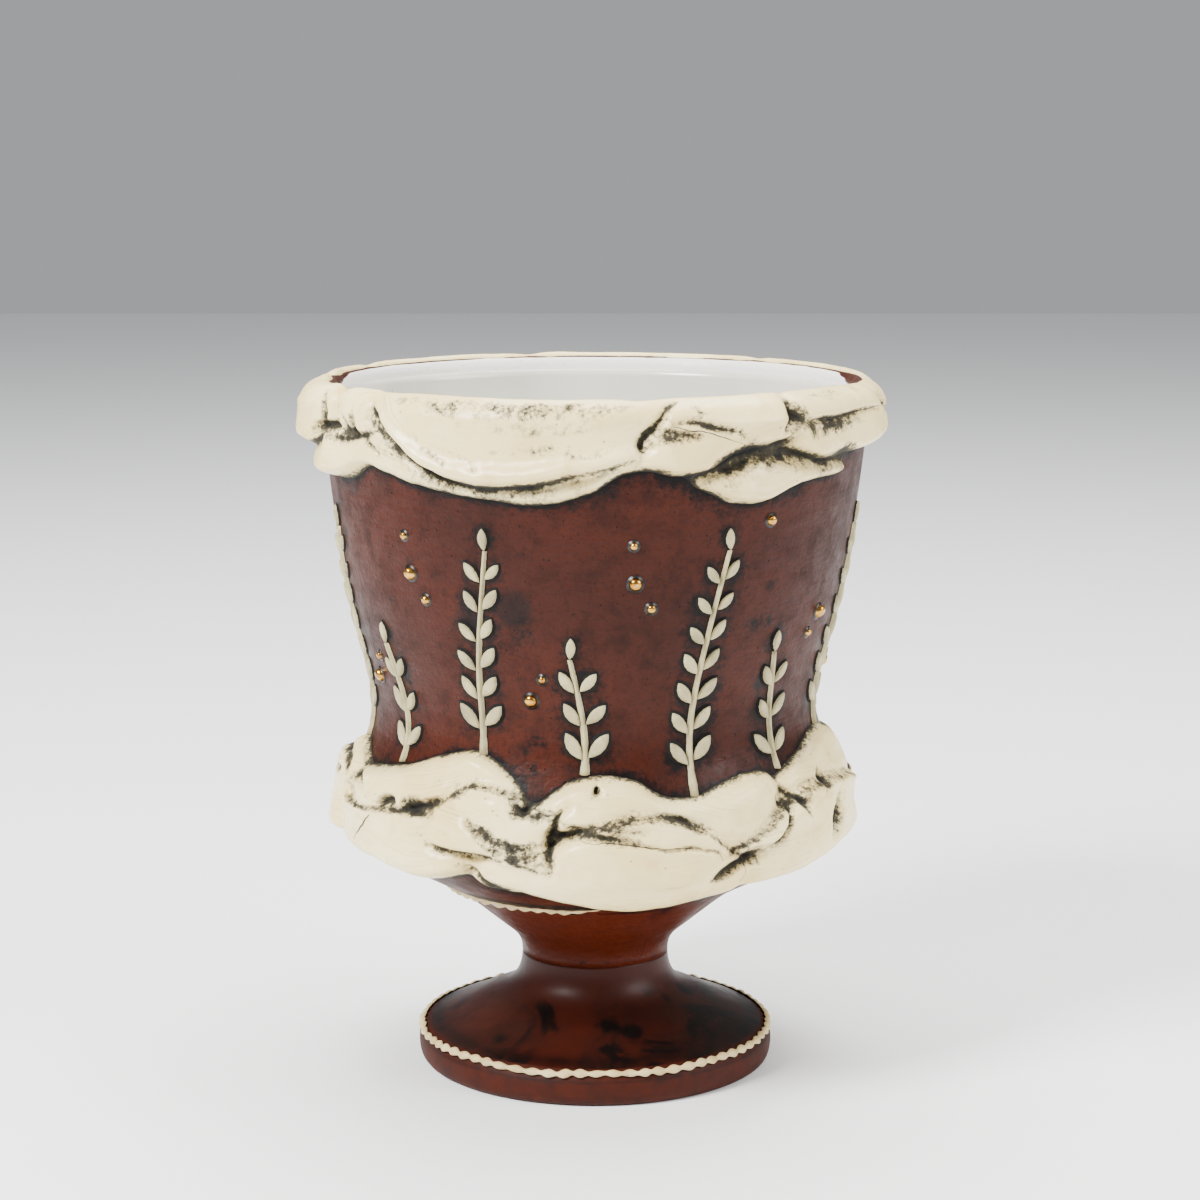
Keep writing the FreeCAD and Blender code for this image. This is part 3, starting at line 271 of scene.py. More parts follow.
shoulderDrape = {
    "start": 38.5, "band": 27, "fold": 4.6, "low": 35.8, "high": 67.4, "step": 0.34, "columns": 860,
    "strips": {
        "shoulder_slab_left": {"rows": [
            (-82, 0.46, 0.70, 0.5, 0.4), (-72, 0.46, 0.75, 0.75, 0.55), (-62, 0.48, 0.79, 0.85, 0.6),
            (-54, 0.5, 0.82, 0.9, 0.6), (-46, 0.52, 0.87, 0.9, 0.6), (-38, 0.56, 0.96, 0.9, 0.6),
            (-32, 0.62, 1, 0.9, 0.6), (-26, 0.70, 0.97, 0.9, 0.6), (-20, 0.66, 0.88, 0.8, 0.5),
            (-15, 0.62, 0.78, 0.45, 0.35)], "ends": (9, 2)},
        "shoulder_peak_left": {"rows": [
            (-94, 0.56, 0.72, 0.4, 0.4), (-86, 0.56, 0.84, 0.8, 0.6), (-79, 0.58, 0.89, 0.9, 0.6),
            (-72, 0.6, 0.81, 0.7, 0.5), (-65, 0.6, 0.76, 0.4, 0.3)],
            "smear": 0.2, "ink": [(-94, 1), (-76, 0.6), (-65, 0.1)]},
        "shoulder_strip_front": {"rows": [
            (-31, 0.19, 0.27, 0.4, 0.3), (-26, 0.12, 0.24, 0.7, 0.5), (-21, 0.09, 0.2, 0.7, 0.5),
            (-15, 0.08, 0.14, 0.35, 0.3)], "ends": (2, 4)},
        "shoulder_slab_right": {"rows": [
            (-16, 0.62, 0.68, 0.4, 0.3), (-11, 0.56, 0.76, 0.9, 0.6), (-5, 0.55, 0.86, 1, 0.6),
            (2, 0.55, 0.89, 1, 0.6), (9, 0.55, 0.85, 1, 0.6), (16, 0.5, 0.76, 1, 0.6),
            (23, 0.42, 0.74, 1.05, 0.7), (30, 0.36, 0.79, 1.1, 0.7), (37, 0.34, 0.83, 1.1, 0.7),
            (44, 0.40, 0.82, 0.9, 0.6), (49, 0.5, 0.76, 0.5, 0.4)], "ends": (2, 5)},
        "shoulder_peak_right": {"rows": [
            (43, 0.6, 0.74, 0.4, 0.3), (50, 0.58, 0.81, 0.8, 0.5), (58, 0.56, 0.88, 1, 0.6),
            (65, 0.56, 0.95, 1.05, 0.6), (72, 0.56, 0.99, 1, 0.6), (79, 0.54, 0.96, 0.9, 0.6),
            (86, 0.5, 0.84, 0.8, 0.5), (93, 0.46, 0.7, 0.4, 0.3)]},
        "shoulder_slab_back_right": {"rows": [
            (84, 0.46, 0.62, 0.5, 0.4), (93, 0.46, 0.74, 0.9, 0.6), (103, 0.46, 0.88, 1, 0.6),
            (113, 0.5, 0.9, 1, 0.6), (123, 0.54, 0.84, 0.95, 0.6), (133, 0.52, 0.88, 1, 0.6),
            (142, 0.42, 0.86, 0.8, 0.5), (149, 0.4, 0.74, 0.4, 0.3)]},
        "shoulder_slab_back": {"rows": [
            (143, 0.42, 0.7, 0.4, 0.3), (151, 0.44, 0.84, 0.9, 0.6), (161, 0.48, 0.94, 1, 0.6),
            (171, 0.46, 1, 1.05, 0.6), (181, 0.48, 0.95, 1, 0.6), (191, 0.46, 0.87, 0.95, 0.6),
            (200, 0.42, 0.8, 0.8, 0.5), (208, 0.46, 0.7, 0.4, 0.3)]},
        "shoulder_slab_back_left": {"rows": [
            (202, 0.42, 0.72, 0.4, 0.3), (210, 0.44, 0.86, 0.9, 0.6), (220, 0.48, 0.92, 1, 0.6),
            (230, 0.5, 0.88, 1, 0.6), (240, 0.54, 0.82, 0.95, 0.6), (248, 0.46, 0.84, 0.9, 0.5),
            (256, 0.44, 0.72, 0.6, 0.4), (264, 0.44, 0.62, 0.3, 0.3)]},
        "shoulder_lump_left": {"rows": [
            (-110, 0.3, 0.55, 0.5, 0.4), (-102, 0.24, 0.66, 0.95, 0.7), (-94, 0.2, 0.74, 1.15, 0.8),
            (-86, 0.2, 0.78, 1.2, 0.8), (-78, 0.2, 0.74, 1.1, 0.7), (-71, 0.24, 0.62, 0.6, 0.5)]},
        "shoulder_belly_left": {"rows": [
            (-80, 0.18, 0.50, 0.6, 0.5), (-72, 0.17, 0.52, 1, 0.8), (-63, 0.17, 0.53, 1.15, 0.85),
            (-54, 0.17, 0.55, 1.2, 0.9), (-46, 0.12, 0.57, 1.2, 0.9), (-40, 0.11, 0.58, 1.2, 0.9),
            (-34, 0.16, 0.62, 1.1, 0.8), (-28, 0.24, 0.64, 0.8, 0.6), (-23, 0.32, 0.62, 0.4, 0.4)],
            "smear": 0.35, "reach": 1.2, "ends": (6, 7),
            "ink": [(-80, 0.4), (-64, 0.5), (-57, 0.15), (-52, 0.6), (-47, 0.9),
                    (-40, 0.9), (-36, 0.2), (-23, 0.1)]},
        "shoulder_belly_back_right": {"rows": [
            (86, 0.26, 0.5, 0.5, 0.4), (95, 0.18, 0.58, 1.15, 0.9), (105, 0.12, 0.6, 1.3, 1),
            (116, 0.1, 0.58, 1.3, 1), (127, 0.13, 0.55, 1.2, 0.95), (137, 0.18, 0.5, 1, 0.8),
            (145, 0.26, 0.42, 0.5, 0.4)], "smear": 0.8, "reach": 2.0},
        "shoulder_belly_back": {"rows": [
            (140, 0.24, 0.36, 0.4, 0.3), (149, 0.14, 0.5, 1, 0.8), (159, 0.07, 0.58, 1.25, 1),
            (170, 0.04, 0.6, 1.35, 1.05), (181, 0.05, 0.57, 1.3, 1), (192, 0.09, 0.54, 1.2, 0.95),
            (202, 0.15, 0.5, 1, 0.8), (210, 0.24, 0.4, 0.45, 0.4)], "smear": 0.8, "reach": 2.0},
        "shoulder_belly_back_left": {"rows": [
            (204, 0.24, 0.4, 0.4, 0.4), (213, 0.15, 0.54, 1.1, 0.9), (223, 0.1, 0.58, 1.25, 1),
            (234, 0.12, 0.56, 1.25, 1), (244, 0.16, 0.52, 1.1, 0.9), (252, 0.22, 0.44, 0.5, 0.4)],
            "smear": 0.8, "reach": 2.0},
        "shoulder_twist_front": {"rows": [
            (-42, 0.45, 0.60, 0.5, 0.4), (-36, 0.42, 0.66, 0.9, 0.8), (-30, 0.38, 0.79, 1.1, 0.8),
            (-24, 0.35, 0.81, 1.15, 0.8), (-18, 0.33, 0.76, 1.1, 0.8), (-12, 0.33, 0.68, 0.9, 0.7),
            (-7, 0.38, 0.60, 0.5, 0.4)], "ends": (7, 3), "smear": 0.3, "reach": 0.8,
            "ink": [(-42, 0.3), (-34, 0.15), (-28, 0.1), (-20, 0.1), (-13, 0.6), (-8, 0.8), (-7, 0.6)]},
        "shoulder_belly_right": {"rows": [
            (24, 0.14, 0.28, 0.3, 0.3), (31, 0.09, 0.40, 0.9, 0.7), (38, 0.08, 0.50, 1.15, 0.9),
            (45, 0.08, 0.62, 1.25, 1), (53, 0.11, 0.68, 1.25, 1), (62, 0.17, 0.70, 1.2, 1),
            (72, 0.22, 0.68, 1.15, 0.9), (82, 0.24, 0.62, 1, 0.8), (90, 0.30, 0.54, 0.5, 0.5)],
            "ends": (4, 6), "smear": 0.35, "reach": 1,
            "ink": [(24, 0.9), (34, 0.8), (40, 0.3), (47, 0.2), (56, 0.1), (80, 0.1), (90, 0.4)]},
        "shoulder_slab_front": {"rows": [
            (-31, 0.24, 0.32, 0.4, 0.3), (-25, 0.16, 0.36, 0.9, 0.7), (-18, 0.12, 0.39, 1.2, 0.9),
            (-11, 0.07, 0.42, 1.3, 1), (-4, 0.01, 0.56, 1.3, 1.1), (3, -0.045, 0.63, 1.35, 1.1),
            (10, -0.06, 0.65, 1.35, 1.1), (17, -0.05, 0.62, 1.3, 1.1), (24, -0.01, 0.54, 1.2, 1),
            (31, 0.03, 0.38, 1.1, 0.8), (38, 0.06, 0.25, 0.6, 0.5)], "ends": (6, 4), "smear": 0.3,
            "reach": 0.8, "ink": [(-31, 1), (-25, 1), (-19, 0.4), (-10, 0.4), (-6, 0.8), (6, 0.5), (12, 0.12),
                                  (24, 0.1), (29, 0.25), (34, 0.8), (38, 1)]},
    },
    "strokes": [
        ([(-55.2, 53), (-53, 54.8), (-50.2, 55.4), (-49, 54.6)], 1.3, 1.5, 1, 1, 0, 0.3),
        ([(-46.8, 53.4), (-43.6, 54.6), (-38.5, 55.6), (-34, 57)], 1.3, 1.5, 1, 1.5, 1, 0.25),
        ([(-34, 57), (-31, 58.6), (-27.4, 60)], 0.7, 0.6, 0.9, 0.35, 0, 0.3),
        ([(-45.8, 57.4), (-44.4, 55.6), (-41, 56.6), (-37.6, 57.2)], 0.8, 0.4, 0.85, 0.9, 0, 0.9),
        ([(-28, 55.6), (-25, 53.4), (-20.5, 51.2), (-14.5, 49.4)], 0.9, 0.6, 0.95, 0.7, 0, 0.6),
        ([(-26.6, 54.8), (-22, 52.8), (-16.5, 51), (-11, 49.8)], 0.6, 0.3, 0.85, 0.6, 0, 0.9),
        ([(-24.5, 51.8), (-19, 49.6), (-13.5, 47.6), (-9.6, 46.2)], 0.6, 0.4, 0.8, 0.6, 0, 0.9),
        ([(-21, 52), (-15, 50.2), (-10, 48.2)], 0.6, 0.2, 0.8, 0.9, 0, 1),
        ([(-18.6, 58.6), (-17.2, 57), (-15.6, 56.6), (-14, 58.4), (-12.2, 60.2)], 1.2, 2, 1, 1, 0, 0.1),
        ([(-14.6, 56.4), (-12, 55.8), (-10.6, 56.4)], 0.9, 0.8, 0.9, 0.8, 0, 0.6),
        ([(-5.6, 57.6), (-7.4, 56.6), (-8.3, 54.9), (-9.6, 52.4), (-9.2, 49), (-8.8, 46.4)],
         0.9, 1.5, 1, 0.75, 0, 0.4),
        ([(-9.2, 51.6), (-12, 51.2), (-15.5, 51.6)], 0.7, 0.2, 0.6, 0.6, 0, 1),
        ([(-9.8, 57.4), (-8, 56.2)], 0.4, 0.4, 0.8, 0.3, 0, 0.4),
        ([(-6.4, 54.9), (-2, 54), (4, 52.9), (9, 52.6)], 1.2, 0.8, 1, 0.85, 0, 0.5),
        ([(-1.5, 55.2), (4, 54.4), (11, 53.6)], 0.8, 0.3, 0.7, 0.7, 0, 1),
        ([(-3.4, 52.7), (3.9, 52), (9.7, 51.4), (17.1, 50.6), (21, 50.4), (25.9, 49.2), (27.8, 47)],
         0.5, 0.6, 0.7, 0.25, 0, 0.3),
        ([(4, 56.8), (11, 56), (16.7, 55.4)], 0.5, 0.3, 0.5, 0.3, 0, 0.6),
        ([(15.6, 55.6), (19.2, 54.5), (23.6, 52.9)], 0.9, 0.8, 0.95, 0.5, 0, 0.5),
        ([(25.4, 44), (29.6, 45.9), (34.4, 47.4), (39, 48.4)], 1.4, 1.6, 1, 1, 0, 0.2),
        ([(38.4, 48.2), (42.5, 49.6), (44.8, 51.8), (45.7, 54), (47, 55.2), (48.8, 55)],
         0.7, 1, 1, 0.4, 0, 0.1),
        ([(42.6, 57.4), (44.2, 55.8), (45.6, 54.2)], 0.7, 0.6, 0.9, 0.4, 0, 0.3),
        ([(46.6, 58.2), (48.4, 56.4), (50.6, 55.4), (54, 56)], 0.9, 1.1, 1, 0.7, 0, 0.3),
        ([(48.6, 56.4), (50, 54.6), (51.6, 52.8)], 0.6, 0.7, 0.9, 0.35, 0, 0.2),
        ([(58.6, 56.2), (60.2, 57.6), (60.8, 59.4)], 1.1, 1.1, 1, 0.9, 0, 0.2),
        ([(61.8, 47.8), (63.4, 49.8), (65.4, 51.8), (66.8, 53.6)], 2, 2.2, 1, 1.8, 0, 0.15),
        ([(64, 53), (66.5, 55), (68.5, 57.2)], 0.8, 0.5, 0.5, 0.6, 0, 1),
        ([(-31, 46.8), (-26, 44.6), (-21, 43.2), (-15, 42.2)], 1.1, 1.1, 1, 0.9, 0, 0.4),
        ([(-72, 55.6), (-68, 57.4), (-63, 56.8)], 1, 0.8, 0.95, 0.9, 0, 0.6),
        ([(-44, 47.6), (-34, 49), (-26, 47.6)], 1.6, 0.35, 0, 0.5, 0, 0),
        ([(-36, 54.6), (-26, 52.4), (-16, 48.6), (-4, 47.6)], 1.7, -0.5, 0, 0.5, 0, 0),
        ([(96, 53.8), (106, 54.6), (118, 53.4)], 1.1, 1, 0.95, 1, 1, 0.7),
        ([(100, 59), (110, 58), (120, 58.4)], 0.7, 0.2, 0.5, 0.6, 0, 1),
        ([(126, 57), (129, 54.6), (134, 53)], 0.9, 1, 1, 0.8, 0, 0.5),
        ([(146, 60), (147, 56.6), (150, 53.6)], 0.9, 1.2, 1, 0.8, 0, 0.3),
        ([(160, 54.8), (172, 55.8), (186, 54.6)], 1.1, 1, 0.95, 1, 1, 0.7),
        ([(164, 60.6), (175, 59.4), (187, 60)], 0.7, 0.2, 0.5, 0.6, 0, 1),
        ([(206, 58.6), (208, 55), (212, 52.6)], 0.9, 1.2, 1, 0.8, 0, 0.3),
        ([(220, 54), (232, 54.8), (243, 53.6)], 1, 0.9, 0.9, 0.9, 1, 0.7),
        ([(252, 57.6), (256, 54.6), (260, 51)], 0.9, 1.1, 1, 0.8, 0, 0.4),
        ([(264, 56.6), (272, 55.4), (280, 56.2)], 0.9, 0.5, 0.8, 0.8, 0, 0.8),
        ([(88, 56.4), (96, 59.6), (106, 61.2), (118, 60), (128, 57)], 1.1, 1.1, 0.85, 1, -1, 0.6),
        ([(95, 45.6), (106, 48.8), (120, 49.2), (135, 46.2)], 1.3, 1.1, 0.6, 0.9, -1, 0.8),
        ([(142, 62.4), (145.6, 58.4), (144.6, 53.6), (148.6, 48.4), (146, 45)], 1.2, 1.7, 1, 1, 0, 0.3),
        ([(152, 57.6), (160, 60.8), (171, 62.8), (184, 61)], 1, 1.2, 0.85, 1, -1, 0.6),
        ([(168, 57), (178, 58.8), (190, 57.2), (198, 54.2)], 1.2, 1.2, 0.9, 1, 0, 0.6),
        ([(150, 45), (161, 49), (176, 50.2), (190, 47.8), (200, 44.6)], 1.4, 1.2, 0.6, 0.9, -1, 0.8),
        ([(202, 61), (206.4, 57), (204.6, 52.4), (208.4, 47.4)], 1.2, 1.7, 1, 1, 0, 0.3),
        ([(212, 56.4), (222, 60.2), (234, 58.6), (246, 60.4)], 1, 1.2, 0.85, 1, 0, 0.6),
        ([(214, 44.8), (226, 48.6), (240, 48), (250, 45.8)], 1.3, 1.1, 0.6, 0.9, -1, 0.8),
        ([(0, 60.5), (0.5, 60.6), (1, 60.5)], 1, 2.2, 1, 0.75, 0, 0),
    ],
}


# fine drying cracks: bearing and height along each, then its width
cracks = {
    "shoulder": [
        ([(-54.9, 52.8), (-57.4, 51), (-60, 48.9), (-62.6, 46.9), (-64.4, 45)], 0.5),
        ([(-3.4, 52.7), (3.9, 52), (9.7, 51.4), (14, 50.7), (17.1, 50.7), (21, 50.5), (24.4, 50),
          (26.6, 48.9), (27.8, 46.8)], 0.34),
        ([(30.6, 52), (32.6, 49.9), (34.4, 48), (33.9, 46), (34.7, 43.9), (33.4, 42)], 0.24),
        ([(38.6, 48.2), (42.5, 49.7), (44.8, 51.8), (45.7, 54), (47, 55.2)], 0.36),
        ([(48.6, 56.4), (50, 54.6), (51.6, 52.8), (52.4, 51.2)], 0.26),
        ([(152, 46), (154.5, 49), (153, 52)], 0.26),
        ([(224, 44), (227, 47.4), (226, 50.6)], 0.26),
    ],
    "rim": [
        ([(12.4, 123.5), (18, 122.7), (24, 121.2), (29.6, 119.4)], 0.24),
        ([(18.6, 114), (21.4, 115.9), (24.6, 117.6)], 0.34),
        ([(44, 123.2), (53.5, 122.9), (63.8, 123.3), (74, 123.9)], 0.3),
        ([(111, 113.6), (113, 117.2), (112, 121)], 0.24),
    ],
}


def layStrips(drape, bearings, v):
    # lays each strip's thickness over those before it, on a grid of bearings and heights
    shape = (len(v), len(bearings))
    depth, free = np.full(shape, buried), np.full(shape, farAway)
    stain, flow = np.zeros(shape), np.zeros(shape + (3,))
    height = v[:, None]
    for order, strip in enumerate(drape["strips"].values()):
        rows = np.array(strip["rows"], float)
        rows[:, 1:3] = np.sort(drape["start"] + drape["band"] * rows[:, 1:3], axis=1)
        if "lipCover" in drape:
            crest = np.interp((rows[:, 0] + 180) % 360, *drape["lipCover"])
            over = smoothStep((rows[:, 2] - 125.6) / 1.2)
            rows[:, 2] = rows[:, 2] * (1 - over) + crest * over
        startMelt, endMelt = strip.get("ends", (5, 5))
        profile = np.array(strip.get("profile", sheetProfile))
        for turn in (-360, 0, 360):
            b = bearings + turn
            columns = np.where((b > rows[0, 0]) & (b < rows[-1, 0]))[0]
            if len(columns) == 0:
                continue
            at = b[columns]
            low, high, roll, edge = smoothTable(at, rows)
            low = low + 0.3 * cloud(at, 0, 7, 11 + order) + 0.12 * cloud(at, 0, 2, 51 + order)
            high = high + 0.3 * cloud(at, 0, 7, 91 + order) + 0.1 * cloud(at, 0, 2, 131 + order)
            along = np.radians(at) * clayRadius
            slant = lambda line: 1 / np.hypot(1, np.gradient(line, along)) if len(along) > 1 else 1
            inside = np.minimum((height - low) * slant(low), (high - height) * slant(high))
            within, outside = inside > 0, np.clip(-inside, 0, None)
            fromStart = np.radians(at - rows[0, 0]) * clayRadius
            toEnd = np.radians(rows[-1, 0] - at) * clayRadius
            melt = smoothStep(fromStart / startMelt) * smoothStep(toEnd / endMelt)
            up = np.clip((height - low) / np.maximum(high - low, 0.5), 0, 1)
            thick = (roll + (edge - roll) * up) * drape["fold"] * np.interp(up, profile[:, 0], profile[:, 1])
            thick = thick * (1 + 0.07 * cloud(at, height, 9, 171 + order))
            roundness = np.clip(0.5 * thick, 0.9, 2.6)
            edgeShare = np.clip(inside / roundness, 0, 1)
            dome = np.sqrt(1 - (1 - edgeShare) ** 2) * (0.3 + 0.7 * smoothStep(inside / 0.85))
            cover = smoothStep(inside / (0.75 * roundness)) * melt
            before = depth[:, columns]
            laid = np.where(within, np.maximum(before, 0) * (1 - cover) + melt * dome * thick, before)
            # strips below are pressed in along the edge
            press = melt * (1.1 * np.exp(-outside / 0.7) + 0.7 * np.exp(-outside / 2.2))
            laid = np.where(~within & (before > 0), np.maximum(before - press, 0.2 * before), laid)
            depth[:, columns] = np.where(within & (laid < 0.02) & (before < 0), before, laid)
            # black rubbed in along the edge, broken up, partly painted shadow of the strip's edge spread over the
            # clay below it
            smear, reach = strip.get("smear", 0.55), strip.get("reach", 1.5)
            fuzz = 0.5 + 0.5 * cloud(at, height, 2.4, 211 + order)
            line = np.exp(-(outside / 0.46) ** 2) + smear * (0.35 + 0.65 * fuzz) * np.exp(-outside / reach)
            mark = melt * line * (0.5 + 0.5 * (0.55 + 0.45 * cloud(at, 0, 12, 251 + order)))
            if "ink" in strip:
                mark = mark * np.interp(at, *np.array(strip["ink"], float).T)
            old = stain[:, columns]
            edgeDark = 0.9 * melt * np.exp(-(inside / 0.36) ** 2) * (before > 0)
            stain[:, columns] = np.where(within, old * (1 - cover) + edgeDark, np.maximum(old, mark))
            for axis, part in enumerate((along, height - low, 9 * order)):
                flow[:, columns, axis] = np.where(within & (melt > 0.5), part, flow[:, columns, axis])
            free[:, columns] = np.minimum(free[:, columns], np.where(melt > 0.25, -inside, farAway))
    return depth, stain, flow, free


def strokeLine(points):
    at = np.array(points, float)
    fine = np.linspace(0, len(at) - 1, max(8, len(at) * 8))
    return np.stack(smoothTable(fine, np.column_stack([np.arange(len(at)), at])), axis=1)


def markStrokes(drape, bearings, v, depth, stain):
    for number, (points, width, deep, dark, spread, side, broken) in enumerate(drape["strokes"]):
        line = strokeLine(points)
        pad = 3.2 * max(width, spread)
        turnPad = math.degrees(pad / clayRadius)
        b = (bearings - line[:, 0].mean() + 180) % 360 - 180 + line[:, 0].mean()
        columns = np.where((b > line[:, 0].min() - turnPad) & (b < line[:, 0].max() + turnPad))[0]
        rows = np.where((v > line[:, 1].min() - pad) & (v < line[:, 1].max() + pad))[0]
        if len(columns) == 0 or len(rows) == 0:
            continue
        b = b[columns]
        x, y = np.meshgrid(np.radians(b) * clayRadius, v[rows])
        x = x + 0.35 * cloud(b, y, 3, 301 + number)
        y = y + 0.35 * cloud(b, y, 3, 341 + number)
        px, py = np.radians(line[:, 0]) * clayRadius, line[:, 1]
        best, where, sideOf = np.full(x.shape, farAway), np.zeros(x.shape), np.zeros(x.shape)
        for i in range(len(px) - 1):
            dx, dy = px[i + 1] - px[i], py[i + 1] - py[i]
            share = np.clip(((x - px[i]) * dx + (y - py[i]) * dy) / (dx * dx + dy * dy + 1e-9), 0, 1)
            away = np.hypot(x - px[i] - share * dx, y - py[i] - share * dy)
            nearer = away < best
            best = np.where(nearer, away, best)
            where = np.where(nearer, (i + share) / (len(px) - 1), where)
            sideOf = np.where(nearer, np.sign(y - py[i] - share * dy), sideOf)
        taper = np.sqrt(np.clip(np.sin(math.pi * np.clip(where, 0.03, 0.97)), 0, 1))
        groove = 1.35 * deep * taper * np.exp(-(best / (0.75 * width)) ** 2)
        patch = np.ix_(rows, columns)
        there = depth[patch] > 0.25
        depth[patch] = np.where(there, np.maximum(depth[patch] - groove, 0.25), depth[patch])
        reach = spread * (0.35 + 0.65 * taper)
        if side:
            reach = np.where(sideOf == side, reach, 0.4 * reach)
        fuzz = 1 - broken * (0.42 + 0.58 * cloud(b, y, 1.3, 381 + number)) * 0.85
        mark = dark * taper * np.exp(-(best / reach) ** 2) * np.clip(fuzz, 0, 1)
        stain[patch] = np.maximum(stain[patch], np.where(there, mark, 0))


def softened(field):
    field = (np.roll(field, 1, 1) + np.roll(field, -1, 1) + 2 * field) / 4
    field[1:-1] = (field[:-2] + field[2:] + 2 * field[1:-1]) / 4
    return field


def setPlaces(piece, places):
    piece.data.vertices.foreach_set("co", (places * mm).reshape(-1).astype(np.float32))
    piece.data.update()


def setValue(piece, key, values, kind="FLOAT", field="value"):
    piece.data.attributes.new(key, kind, "POINT")
    piece.data.attributes[key].data.foreach_set(field, np.asarray(values, np.float32).reshape(-1))


def closeUp(gap=0.0):
    # the piece's doubles are merged, its faces turned outwards and its shading smoothed
    bpy.ops.object.mode_set(mode="EDIT")
    bpy.ops.mesh.select_all(action="SELECT")
    if gap:
        bpy.ops.mesh.remove_doubles(threshold=gap)
    bpy.ops.mesh.normals_make_consistent(inside=False)
    bpy.ops.object.mode_set(mode="OBJECT")
    bpy.ops.object.shade_smooth()


def gridPiece(name, places, stain, flow=None):
    # a grid whose rows and columns both close on themselves; places is rows x columns x 3 in mm
    wrapped = lambda field: np.pad(field, [(0, 1), (0, 1), (0, 0)][:field.ndim], mode="wrap")
    places = wrapped(places)
    rows, columns = places.shape[:2]
    pickOnly()
    bpy.ops.mesh.primitive_grid_add(x_subdivisions=columns - 1, y_subdivisions=rows - 1, size=0.1)
    piece = bpy.context.object
    piece.name = name
    setPlaces(piece, places)
    setValue(piece, "stain", wrapped(stain))
    if flow is not None:
        setValue(piece, "flow", wrapped(flow), "FLOAT_VECTOR", "vector")
    closeUp(0.00001)
    return piece


def makeDrape(name, drape):
    v = np.linspace(drape["low"], drape["high"], int((drape["high"] - drape["low"]) / drape["step"]))
    bearings = np.linspace(0, 360, drape["columns"], endpoint=False)
    depth, stain, flow, free = layStrips(drape, bearings, v)
    depth = np.where(depth <= 0, -np.clip(1.8 * free, 0.02, 1.2), depth)
    # softened a little, as wet clay is, then pressed by hand
    for _ in range(3):
        depth = np.where(depth > -1.1, softened(depth), depth)
    markStrokes(drape, bearings, v, depth, stain)
    grid = v[:, None]
    hands = sum(share * cloud(bearings, grid, size, seed) for share, size, seed in handPresses)
    depth = np.where(depth > 0.3, depth + 1.6 * hands, depth)
    # painted shade darkens the hollows, and the clay is darkened where it thins out
    wide = np.maximum(depth, 0)
    for _ in range(26):
        wide = softened(wide)
    # painted shade: hollows lying below the softened surface are darkened
    hollow = np.clip((wide - depth - 0.12) / 0.8, 0, 1) * (depth > 0.3)
    hollow = hollow * (0.55 + 0.45 * cloud(bearings, grid, 5, 9))
    thinEdge = np.exp(-(np.clip(depth, 0, None) / 0.5) ** 1.5)
    # the stain now holds the black rubbed in and the painted shade of the hollows
    stain = np.clip(np.maximum(np.maximum(stain, 0.85 * hollow), 0.9 * thinEdge), 0, 1)
    stain = np.clip(1.12 * softened(stain), 0, 1)
    # but not in the edge inside the lip, where the clay thins out
    stain = stain * (1 - 0.85 * smoothStep((grid - 126.2) / 1.6))
    shown = depth * np.where(depth > 0, 1 - 0.72 * smoothStep((grid - 123.6) / 3.2), 1)
    drape.update(v=v, depth=shown, free=free)
    backHeights = np.linspace(drape["high"], drape["low"], 12)[1:-1, None]
    front = around(bearings, *wallPlace(grid, shown))
    back = around(bearings, *wallPlace(backHeights, -1.3 + 0 * bearings))
    pad = ((0, len(back)), (0, 0), (0, 0))
    return gridPiece(name, np.concatenate([front, back]), np.pad(stain, pad[:2]), np.pad(flow, pad))


def link(value, slot):
    # a socket is linked, a number or a colour is set
    if isinstance(value, bpy.types.NodeSocket):
        value.id_data.links.new(value, slot)
    else:
        slot.default_value = value


def startMaterial(name):
    material = bpy.data.materials.new(name)
    material.use_nodes = True
    nodes = material.node_tree.nodes
    nodes.clear()
    output = nodes.new("ShaderNodeOutputMaterial")
    shader = nodes.new("ShaderNodeBsdfPrincipled")
    link(shader.outputs[0], output.inputs[0])
    return material, shader


def linear(colour):
    # a picture's red, green and blue of 0 to 255, as a node takes them
    parts = (part / 255 for part in colour)
    return tuple(c / 12.92 if c <= 0.04045 else ((c + 0.055) / 1.055) ** 2.4 for c in parts) + (1,)


def stretched(source, scale):
    node = source.id_data.nodes.new("ShaderNodeMapping")
    node.inputs["Scale"].default_value = scale
    link(source, node.inputs["Vector"])
    return node.outputs[0]


def objectPlace(shader, scale=(1, 1, 1)):
    return stretched(shader.id_data.nodes.new("ShaderNodeTexCoord").outputs["Object"], scale)


def attribute(shader, name, output="Fac"):
    node = shader.id_data.nodes.new("ShaderNodeAttribute")
    node.attribute_name = name
    return node.outputs[output]


def noise(source, scale, detail=3.0, roughness=0.55, distortion=0.0):
    node = source.id_data.nodes.new("ShaderNodeTexNoise")
    for key, value in (("Scale", scale), ("Detail", detail), ("Roughness", roughness), ("Distortion", distortion)):
        node.inputs[key].default_value = value
    link(source, node.inputs["Vector"])
    return node.outputs["Fac"]


def ramp(source, *stops):
    node = source.id_data.nodes.new("ShaderNodeValToRGB")
    while len(node.color_ramp.elements) < len(stops):
        node.color_ramp.elements.new(0.5)
    for element, (place, value) in zip(node.color_ramp.elements, stops):
        element.position = place
        element.color = (value, value, value, 1)
    link(source, node.inputs["Fac"])
    return node.outputs["Color"]


def mix(share, first, second):
    tree = next(value for value in (share, first) if isinstance(value, bpy.types.NodeSocket)).id_data
    node = tree.nodes.new("ShaderNodeMix")
    node.data_type = "RGBA"
    for slot, value in ((0, share), (6, first), (7, second)):
        link(value, node.inputs[slot])
    return node.outputs[2]


def combine(operation, first, second, clamp=False):
    node = first.id_data.nodes.new("ShaderNodeMath")
    node.operation = operation
    node.use_clamp = clamp
    link(first, node.inputs[0])
    link(second, node.inputs[1])
    return node.outputs[0]


